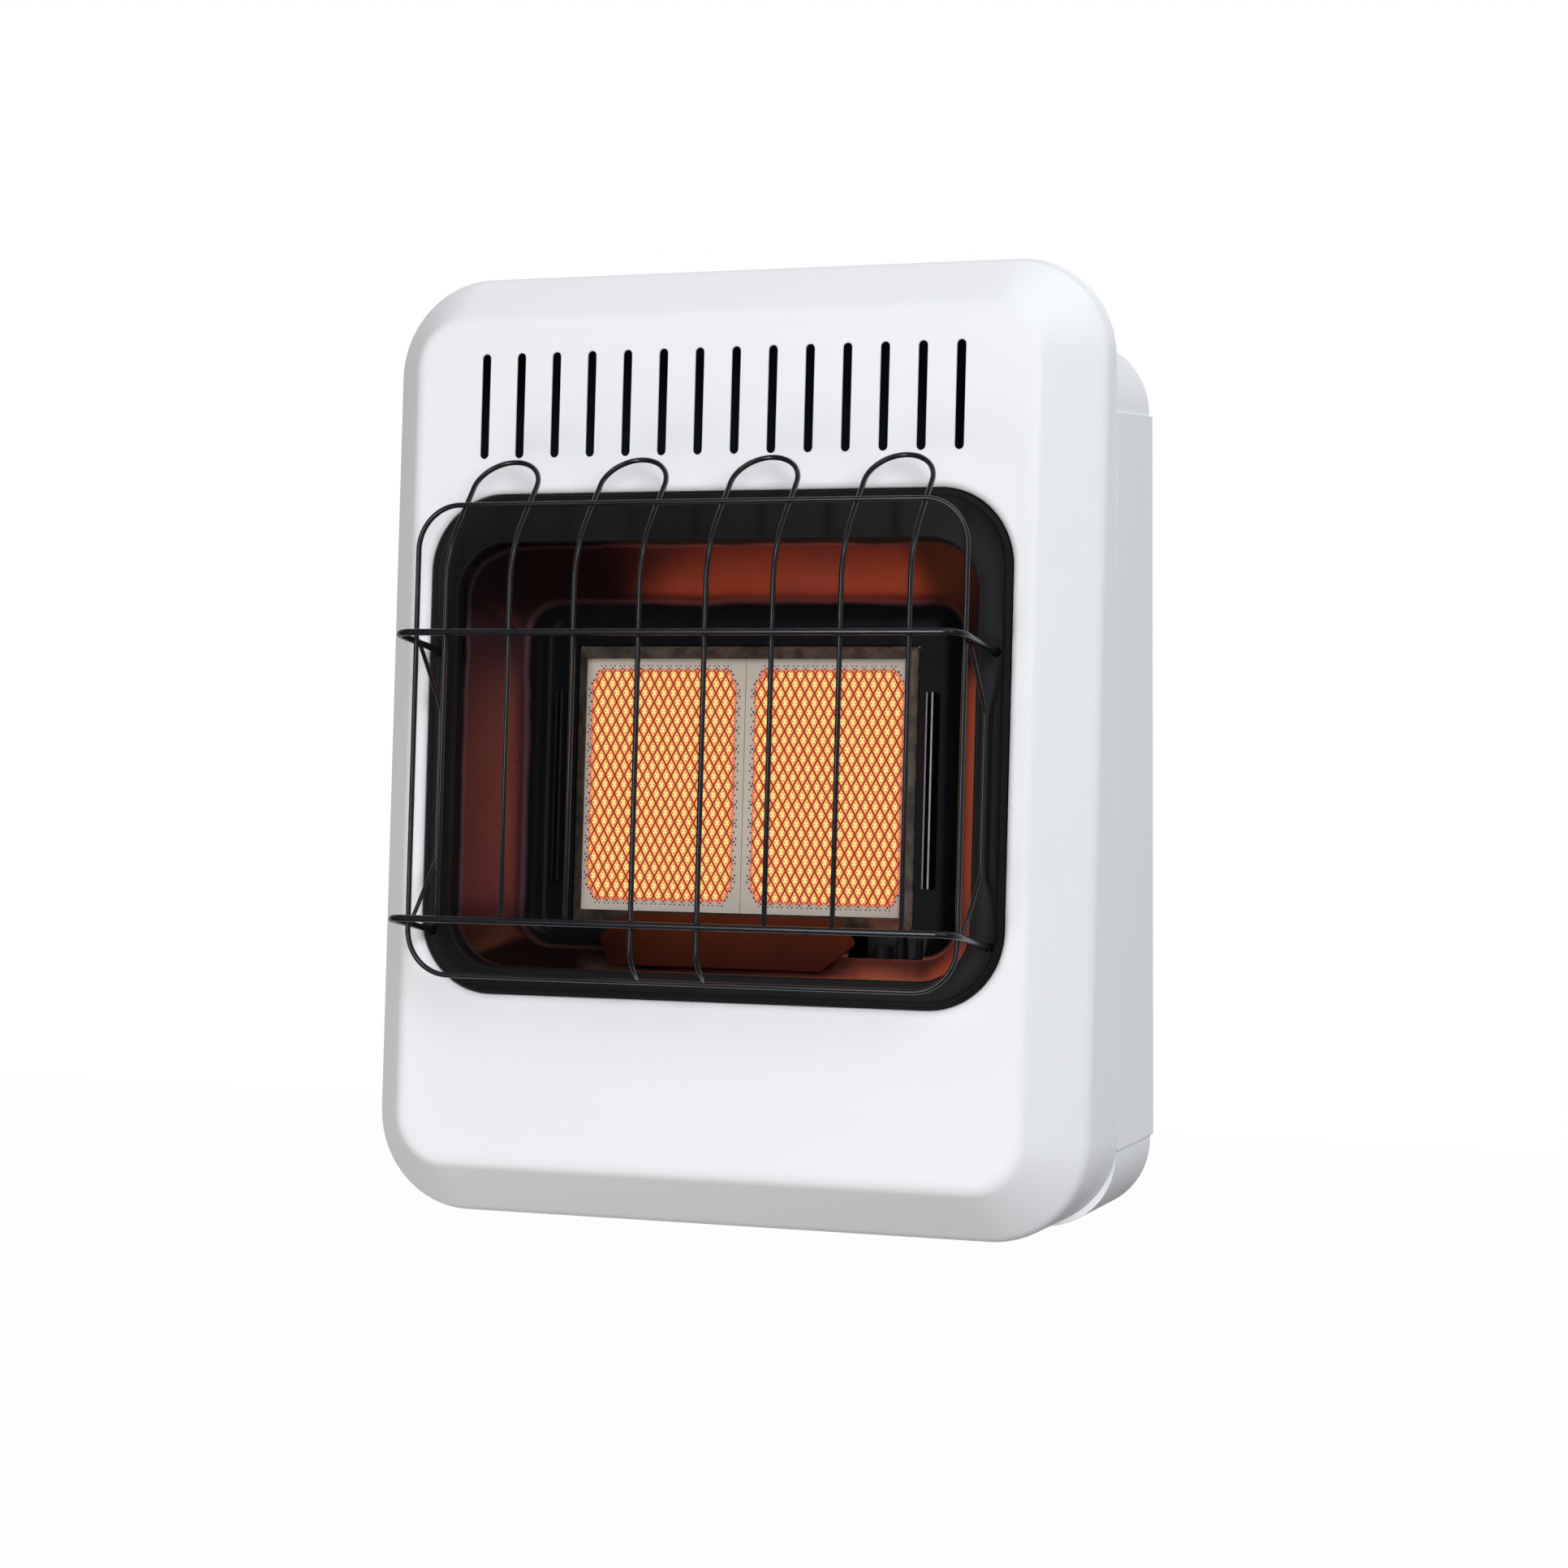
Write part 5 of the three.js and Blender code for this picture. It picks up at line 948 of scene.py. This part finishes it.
# %% Wire tools
def bent(corners, bends, steps=10):
    """A path with straight runs and round corners: at each corner an arc of its given radius that
    touches both runs, cut short where a run is too small for it."""
    corners = np.asarray(corners, float)
    bends = np.broadcast_to(bends, len(corners) - 2)
    path = [corners[:1]]
    for here, a, b, bend in zip(corners[1:-1], corners[:-2], corners[2:], bends):
        before, after = a - here, b - here
        run = min(np.linalg.norm(before), np.linalg.norm(after)) * 0.48
        before, after = before / np.linalg.norm(before), after / np.linalg.norm(after)
        half = np.arccos(np.clip(before @ after, -1, 1)) / 2
        reach = min(bend / np.tan(half), run)
        radius = reach * np.tan(half)
        middle = (before + after) / np.linalg.norm(before + after)
        centre = here + middle * radius / np.sin(half)
        start, end = here + before * reach - centre, here + after * reach - centre
        across = end - start * (start @ end) / (radius * radius)
        across *= radius / np.linalg.norm(across)
        turn = np.linspace(0, np.pi - 2 * half, steps + 1)[:, None]
        path.append(centre + start * np.cos(turn) + across * np.sin(turn))
    path.append(corners[-1:])
    return np.concatenate(path)


WIRE_SIDES = 16


def wire_shape(path, diameter, across, closed):
    """A round wire: at each point of the path, a circle in the two directions square to the path.
    Open ends get a half-round cap of shrinking circles."""
    if closed:
        along = np.roll(path, -1, 0) - np.roll(path, 1, 0)
    else:
        along = np.gradient(path, axis=0)
        before, after = np.diff(path, axis=0)[:-1], np.diff(path, axis=0)[1:]
        before /= np.linalg.norm(before, axis=1, keepdims=True)
        after /= np.linalg.norm(after, axis=1, keepdims=True)
        along[1:-1] = before + after
    along /= np.linalg.norm(along, axis=1, keepdims=True)
    radius = np.full(len(path), diameter / 2)
    if not closed:
        cap = np.linspace(np.pi / 2, 0, 5)[:-1]
        shrink, push = diameter / 2 * np.cos(cap), diameter / 2 * (np.sin(cap) - 1)
        path = np.concatenate((path[:1] - along[:1] * push[:, None], path[1:-1],
                               (path[-1:] + along[-1:] * push[:, None])[::-1]))
        radius = np.concatenate((shrink, radius[1:-1], shrink[::-1]))
        along = np.concatenate((np.repeat(along[:1], 4, 0), along[1:-1], np.repeat(along[-1:], 4, 0)))
    side = np.cross(along, across)
    side /= np.linalg.norm(side, axis=1, keepdims=True)
    up = np.cross(side, along)
    turn = np.linspace(0, 2 * np.pi, WIRE_SIDES, endpoint=False)
    circle = side[:, None] * np.cos(turn)[:, None] + up[:, None] * np.sin(turn)[:, None]
    return loft(path[:, None] + circle * radius[:, None, None], closed_rows=closed)


# %% Guard
WIRE, SIDE_WIRE = 2.6, 2.2
LOOP = dict(half=142.5, top=-18.8, low=-248.2, corner=22.0)
LOOP_STAND, HOOP_STAND, HOOP_PITCH, HOOP_BEND = 33.0, 46.4, 34.2, 42.0
HOOP_TOP_RISE, HOOP_TOP_STAND, LEG_LOW, LEG_BEND, FOOT_BEND = 4.4, 10.0, 238.0, 50.0, 16.0
WELD, RAIL_BEND, RAIL_TAIL = 0.3, 9.0, 13.0
BOW_STAND, BOW_RAMP, BOW_BEND, BOW_DROP = 4.0, 31.0, 11.0, 2.4
RAIL_STAND = HOOP_STAND + WIRE / 2 + WELD + RAIL_WIRE / 2


def wire_piece(name, node_name, path, diameter, across, closed=False):
    """A piece of black wire along a path on the leaning face."""
    shape = leaned(wire_shape(path, diameter, across, closed))
    piece(name, shape, "black_wire", node_name, sharp=60)


wire_piece("guard_frame_loop", "guard_loop", grown(LOOP, 0.0, -LOOP_STAND), WIRE, (0, 1, 0), closed=True)

for word, height in (("upper", RAIL_UPPER), ("lower", RAIL_LOWER)):
    turns = [np.array([side * RAIL_HOLE_HALF, -RAIL_STAND, -height]) for side in (-1, 1)]
    fall = np.array([0, TRIM_FACE - TRIM_SHEET / 2 + RAIL_STAND, -RAIL_DROP])
    along = fall / np.linalg.norm(fall)
    ends = [bend + fall + along * RAIL_TAIL for bend in turns]
    path = bent([ends[0], turns[0], turns[1], ends[1]], RAIL_BEND)
    wire_piece(f"guard_{word}_rail", f"guard_rail_{word}", path, RAIL_WIRE,
               np.cross((1, 0, 0), along))

for index in range(4):
    middle = (index - 1.5) * 2 * HOOP_PITCH
    radius = HOOP_PITCH / 2
    rise = np.array([0, HOOP_STAND - HOOP_TOP_STAND, HOOP_TOP_RISE + HOOP_BEND])
    rise /= np.linalg.norm(rise)
    heart = np.array([middle, -HOOP_TOP_STAND, HOOP_TOP_RISE]) - rise * radius
    turn = np.linspace(np.pi, 0, 33)[:, None]
    arc = heart + np.array([1, 0, 0]) * radius * np.cos(turn) + rise * radius * np.sin(turn)
    legs = []
    for side, start in ((-1, arc[0]), (1, arc[-1])):
        x = middle + side * radius
        stops = [start, (x, -HOOP_STAND, -HOOP_BEND)]
        if abs(x) < HOOP_PITCH:
            stops += [(x, -HOOP_STAND, -LEG_LOW), (x, -LOOP_STAND - WIRE, LOOP["low"] + WIRE / 2)]
        else:
            stops += [(x, -HOOP_STAND, -RAIL_LOWER - RAIL_WIRE / 2)]
        legs.append(bent(stops, (LEG_BEND, FOOT_BEND)[:len(stops) - 2])[1:])
    path = np.concatenate((legs[0][::-1], arc, legs[1]))
    wire_piece(f"guard_bent_hoop_{index + 1}", f"guard_hoop_{index + 1}", path, WIRE, (0, 1, 0))

for side, word in SIDES:
    x = side * (RAIL_HOLE_HALF - RAIL_WIRE / 2 - WELD - SIDE_WIRE / 2)
    stand = LOOP_STAND - WIRE / 2 - WELD - SIDE_WIRE
    upper, lower = -RAIL_UPPER - BOW_DROP, -RAIL_LOWER - BOW_DROP
    path = bent([(x, -stand, upper), (x, -BOW_STAND, upper - BOW_RAMP),
                 (x, -BOW_STAND, lower + BOW_RAMP), (x, -stand, lower)], BOW_BEND)
    wire_piece(f"guard_{word}_bow", f"guard_side_{word}", path, SIDE_WIRE, (1, 0, 0))

# %% [markdown]
# ## Case
# Behind the cover is a flat box: a top and a bottom sheet with rounded corners, and a side panel on
# each side that laps over them. The sheets' line is drawn once for every point of the bent section,
# so the turned front edge closes the corners, where the cover's rim is rounder than the case.

# %% Case sheets
CASE_FRONT, CASE_BACK, WRAP_BACK, EDGE_TURN = -61.4, -2.3, -3.6, 4.5
WRAP_HALF, CASE_TOP, CASE_LOW, CASE_CORNER = 187.3, 63.7, -368.3, 37.0
PANEL_TOP, PANEL_LOW, PANEL_OUT, PANEL_IN, REAR_RETURN, LAP = 25.5, -329.3, 188.6, 187.6, 9.0, 6.0
CONTROL_Y, VALVE_X, IGNITER_X, INLET_X, INLET_Y = -31.0, 115.0, 60.0, 128.0, -23.0
STEM_HOLE, IGNITER_HOLE, INLET_HOLE, VENT_HALF, VENT_HIGH, CUT = 5.2, 9.3, 10.8, 31.0, 4.7, 3


def wrap_line(inset, end, upward):
    """The sheet's line in the room's x and z: up one side, round two corners, down the other."""
    half, corner = WRAP_HALF - inset, CASE_CORNER - inset
    level, sign = (CASE_TOP - inset, 1) if upward else (CASE_LOW + inset, -1)
    turn = np.linspace(0, np.pi / 2, 25)
    arc = np.column_stack((half - corner + corner * np.cos(turn),
                           level - sign * corner + sign * corner * np.sin(turn)))
    right_part = np.concatenate(([(half, end)], arc))
    return np.concatenate((right_part, right_part[::-1] * [-1, 1]))


def wrap_shape(end, upward):
    """The line carried round the sheet's section: outside, rear edge, inside, and a front edge that
    is turned in by a few millimetres."""
    section = ((0, CASE_FRONT + 0.2), (0, WRAP_BACK), (SHEET, WRAP_BACK), (SHEET, CASE_FRONT + SHEET),
               (EDGE_TURN, CASE_FRONT + SHEET), (EDGE_TURN, CASE_FRONT), (0.2, CASE_FRONT))
    rings = np.array([np.insert(wrap_line(inset, end, upward), 1, y, axis=1) for inset, y in section])
    return together(loft(rings, closed_rows=True, closed_columns=False), flat_fill(rings[:, 0]),
                    flat_fill(rings[:, -1]))


def upright_peg(x, y, radius, z):
    """A round tool through the sheet at a height, in the room."""
    return peg((x, y), radius, 2, (z - CUT, z + CUT), 48)


def vent_tools(places, z):
    """Blocks through the sheet for the long vents."""
    return [box_tool(x - VENT_HALF, x + VENT_HALF, CONTROL_Y - VENT_HIGH, CONTROL_Y + VENT_HIGH,
                     z - CUT, z + CUT) for x in places]


piece("rounded_case_top", wrap_shape(PANEL_TOP - LAP, True), "white_paint", "case_top",
      tools=[upright_peg(VALVE_X, CONTROL_Y, STEM_HOLE, CASE_TOP),
             upright_peg(IGNITER_X, CONTROL_Y, IGNITER_HOLE, CASE_TOP),
             *vent_tools((-10.0, -84.0), CASE_TOP)])
piece("rounded_case_bottom", wrap_shape(PANEL_LOW + LAP, False), "white_paint", "case_bottom",
      tools=[upright_peg(INLET_X, INLET_Y, INLET_HOLE, CASE_LOW),
             *vent_tools((38.0, -36.0, -110.0), CASE_LOW)])

for side, word in SIDES:
    line = np.array([(PANEL_IN, CASE_FRONT), (PANEL_OUT, CASE_FRONT), (PANEL_OUT, CASE_BACK),
                     (PANEL_OUT - REAR_RETURN, CASE_BACK), (PANEL_OUT - REAR_RETURN, CASE_BACK - SHEET),
                     (PANEL_IN, CASE_BACK - SHEET)])
    outline = np.insert(line * [side, 1], 2, PANEL_LOW, axis=1)
    piece(f"{word}_side_sheet", pushed(outline, [0, 0, PANEL_TOP - PANEL_LOW]), "white_paint",
          f"side_panel_{word}", bevel=0.2)

# %% [markdown]
# ## Controls and fittings
# The photograph shows none of these. On top are a fluted knob over a dial ring, and the igniter's
# button in its nut. The gas inlet is underneath, and four screws hold the rear panel. All are turned
# shapes: a profile carried round a line. The knob's flutes and the nut's six sides only change the
# reach with the turn, so no Boolean is needed for them.

# %% Controls
def turned(profile, x, y, sides=96, reach=None):
    """A profile carried round an upright line: at turn t its points are (x + r cos t, y + r sin t, z).
    A profile that ends on the line is closed there, any other is joined to its start."""
    radius, height = np.asarray(profile, float).T[:, :, None]
    t = np.linspace(0, 2 * np.pi, sides, endpoint=False)
    out = radius + 0 * t if reach is None else reach(radius, height, t)
    rings = np.stack((x + out * np.cos(t), y + out * np.sin(t), height + 0 * t), -1)
    return loft(rings, closed_rows=bool(profile[0][0] > 0))


KNOB_LOW, KNOB_HIGH, GRIP_LOW, SKIRT, GRIP = 69.3, 86.3, 75.6, 17.5, 15.05
FLUTES, FLUTE_RADIUS, FLUTE_PLACE = 12, 1.75, 15.35
POINTER_HALF, POINTER_FAR, POINTER_NEAR, POINTER_DEEP = 0.7, 12.0, 3.8, 1.0


def fluted(radius, height, t):
    """Above the skirt, the reach ends at the near side of the flute's circle on that turn:
    r = c cos a - sqrt(f f - c c sin a sin a), where a is the turn from the nearest flute."""
    off = ((t * FLUTES / (2 * np.pi) + 0.5) % 1 - 0.5) * 2 * np.pi / FLUTES
    under = FLUTE_RADIUS ** 2 - (FLUTE_PLACE * np.sin(off)) ** 2
    near = np.where(under > 0, FLUTE_PLACE * np.cos(off) - np.sqrt(np.clip(under, 0, None)), SKIRT)
    return np.where(height > GRIP_LOW + 0.01, np.minimum(radius, near), radius + 0 * t)


knob_line = np.concatenate((
    bent([(0, 78.3), (3.2, 78.3), (3.2, 71.5), (5.4, 71.5), (5.4, KNOB_LOW), (SKIRT, KNOB_LOW),
          (SKIRT, 73.5), (GRIP, GRIP_LOW)], (0.1, 0.1, 0.1, 0.1, 0.5, 0.8), 4),
    bent([(GRIP, GRIP_LOW + 0.02), (14.6, 84.2), (13.24, KNOB_HIGH), (0, KNOB_HIGH)], (3.0, 1.2), 6)))
pointer = box_tool(VALVE_X - POINTER_HALF, VALVE_X + POINTER_HALF, CONTROL_Y - POINTER_FAR,
                   CONTROL_Y - POINTER_NEAR, KNOB_HIGH - POINTER_DEEP, KNOB_HIGH + 2)
piece("fluted_knob", turned(knob_line, VALVE_X, CONTROL_Y, 360, fluted), "black_plastic", "control_knob",
      body="knob", tools=[pointer])

dial_line = bent([(13, 64), (22, 64), (22, 65), (5.2, 65), (5.2, 64), (13, 64)], 0.25, 3)[:-1]
piece("dial_ring", turned(dial_line, VALVE_X, CONTROL_Y, 128), "aluminium", "dial_plate")

NUT_RADIUS, NUT_TURN = 12.5, np.pi / 6


def six_sided(radius, height, t):
    """The reach of a hexagon, or the row's own radius where that is smaller, which bevels the
    corners."""
    side = (t - NUT_TURN) % (np.pi / 3) - np.pi / 6
    return np.minimum(radius, NUT_RADIUS * np.cos(np.pi / 6) / np.cos(side))


nut_line = [(9.3, 64), (11.6, 64), (12.5, 64.6), (12.5, 67.3), (11.3, 68), (9.3, 68)]
piece("hexagon_nut", turned(nut_line, IGNITER_X, CONTROL_Y, 96, six_sided), "aluminium",
      "igniter_nut", sharp=20)
button_line = bent([(0, 62), (6.2, 62), (6.2, 74.7), (5.2, 75.7), (0, 75.4)], (0.2, 0.8, 0.8), 5)
piece("round_button", turned(button_line, IGNITER_X, CONTROL_Y), "black_plastic", "igniter_button",
      body="igniter_push")

inlet_line = bent([(7, CASE_LOW), (10.5, CASE_LOW), (10.5, -367), (14, -367), (14, -362.6),
                   (10.5, -361.3), (5, -361.3), (5, CASE_LOW), (7, CASE_LOW)], 0.25, 3)[:-1]
piece("inlet_flange", turned(inlet_line, INLET_X, INLET_Y), "brass", "inlet_fitting")

SCREW_X, SCREW_RISES, SCREW_Y = 149.3, (44.7, -349.3), -3.3
CROSS_LONG, CROSS_HALF, CROSS_FROM, CROSS_TO = 1.7, 0.35, 1.1, 3
screw_line = bent([(0, 0), (3.6, 0), (3.6, 0.72), (2.16, 1.8), (0, 1.8)], (0.15, 0.3, 0.8), 4)
screw_points, screw_faces = turned(screw_line, 0, 0, 48)
screw_points = screw_points[:, [0, 2, 1]]
for index, (x, z) in enumerate([(x, z) for z in SCREW_RISES for x in (-SCREW_X, SCREW_X)], 1):
    cross = [box_tool(x - wide, x + wide, SCREW_Y + CROSS_FROM, SCREW_Y + CROSS_TO, z - high, z + high)
             for wide, high in ((CROSS_LONG, CROSS_HALF), (CROSS_HALF, CROSS_LONG))]
    piece(f"cross_screw_{index}", (screw_points + [x, SCREW_Y, z], screw_faces), "zinc_steel",
          f"rear_screw_{index}", tools=cross)

for name in ("wall_bracket", "rear_panel"):
    soften(frame["nodes"][name], 0.2)

# %% [markdown]
# ## Light and floor
# The photograph has no background and soft light. The levels were worked out from the brightness of
# the cover's face, its four bands, the side panel and the corners: a white backdrop behind the heater
# lights its sides, three large lamps light the front from the lower left, the right and above, and
# the rest of the room is dim, so black stays black and the underside stays grey. Three narrow lamps
# make the fine lines of light on wires and bends. The floor is far below and pale.

# %% World
ROOM, BACKDROP = (0.04, 0.04, 0.04), (0.955, 0.985, 1.04)
MIRROR_ROOM, MIRROR_BACK, WHITE = (0.02, 0.02, 0.024), (0.45, 0.45, 0.45), (1.0, 1.0, 1.0)
BACK_SOFT = 0.35                      # how softly the room turns into the backdrop


def is_mirrored(ray):
    """One for the rays that come off a shiny surface or through glass."""
    return larger(ray["Is Glossy Ray"], ray["Is Transmission Ray"])


world = bpy.data.worlds.new("studio")
scene.world = world
world.use_nodes = True
tree = world.node_tree
ray = node(tree, "ShaderNodeLightPath").outputs
direction = node(tree, "ShaderNodeTexCoord").outputs["Generated"]
behind = steps_between(node(tree, "ShaderNodeSeparateXYZ", {0: direction}).outputs[1], 0.0, BACK_SOFT)
mirrored = is_mirrored(ray)
around = blend_colours(behind, blend_colours(mirrored, ROOM, MIRROR_ROOM),
                       blend_colours(mirrored, BACKDROP, MIRROR_BACK))
feed(tree.nodes["Background"],
     {"Color": blend_colours(ray["Is Camera Ray"], around, WHITE), "Strength": 1.0})
print("world:", world.name)

# %% Lamps
HEART = Vector((0.0, -0.09, -0.135))


def lamp(name, direction, distance, size, level, colour, mirrored=False):
    """A lamp that gives the wanted level on a white surface that faces it: its power is the level
    times pi squared times the distance squared. A mirrored lamp only makes glints and the others
    only light, so each can be set alone."""
    data = bpy.data.lights.new(name, "AREA")
    data.shape, data.size, data.size_y = "RECTANGLE", *size
    data.energy = level * np.pi ** 2 * distance ** 2
    data.color = colour
    made = put_in_scene(name, data)
    towards = Vector(direction).normalized()
    made.location = HEART + towards * distance
    made.rotation_euler = towards.to_track_quat("Z", "Y").to_euler()
    made.visible_camera, made.visible_glossy, made.visible_diffuse = False, mirrored, not mirrored


lamp("lower_left_lamp", (-0.42, -0.66, -0.62), 2.6, (1.3, 1.3), 0.47, (1.0, 0.985, 0.965))
lamp("right_lamp", (0.62, -0.7, 0.36), 4.8, (2.8, 2.8), 0.86, (0.975, 0.991, 1.03))
lamp("upper_lamp", (-0.2, -0.5, 0.84), 3.6, (2.0, 2.0), 0.27, (1.0, 0.995, 0.985))
lamp("right_line_lamp", (0.56, -0.82, 0.1), 2.4, (0.3, 1.9), 0.04, (1.0, 0.97, 0.92), mirrored=True)
lamp("tall_line_lamp", (-0.22, -0.96, 0.1), 2.4, (0.24, 1.9), 0.2, (0.9, 0.93, 1.0), mirrored=True)
lamp("wide_line_lamp", (0.3, -0.65, 0.7), 2.4, (1.6, 0.22), 0.1, (0.95, 0.97, 1.0), mirrored=True)

# %% Floor
FLOOR_Z, FLOOR_HALF, FLOOR_SOFT, FLOOR_SEEN = -2.8, 16.0, 1.5, 0.97
FLOOR_DARK, FLOOR_PALE = (0.02, 0.02, 0.02), (0.95, 0.95, 0.95)
corners = np.array([(-1, -1), (1, -1), (1, 1), (-1, 1)]) * FLOOR_HALF
floor_mesh = bpy.data.meshes.new("studio_floor")
floor_mesh.from_pydata(np.insert(corners, 2, FLOOR_Z, axis=1).tolist(), [], [(0, 1, 2, 3)])
floor_finish, tree, shader = new_material("studio_floor")
ray = node(tree, "ShaderNodeLightPath").outputs
feed(shader, {"Base Color": blend_colours(ray["Is Camera Ray"], FLOOR_DARK, FLOOR_PALE),
              "Roughness": 0.9, "Specular IOR Level": 0.0})
mirrored = is_mirrored(ray)
seen = larger(ray["Is Camera Ray"], mirrored)
distance = node(tree, "ShaderNodeSeparateXYZ", {0: object_place(tree)}).outputs[1]
front = times(mirrored, minus(1.0, steps_between(distance, 0.0, FLOOR_SOFT)))
pale = blend_colours(front, blend_colours(mirrored, WHITE, MIRROR_BACK), MIRROR_ROOM)
white = node(tree, "ShaderNodeEmission", {"Color": pale, "Strength": 1.0})
mix = node(tree, "ShaderNodeMixShader",
           {0: times(seen, FLOOR_SEEN), 1: shader.outputs[0], 2: white.outputs[0]})
feed(tree.nodes["Material Output"], {"Surface": mix.outputs[0]})
floor_mesh.materials.append(floor_finish)
studio_floor = put_in_scene("studio_floor", floor_mesh)
print("floor at", FLOOR_Z, "m")
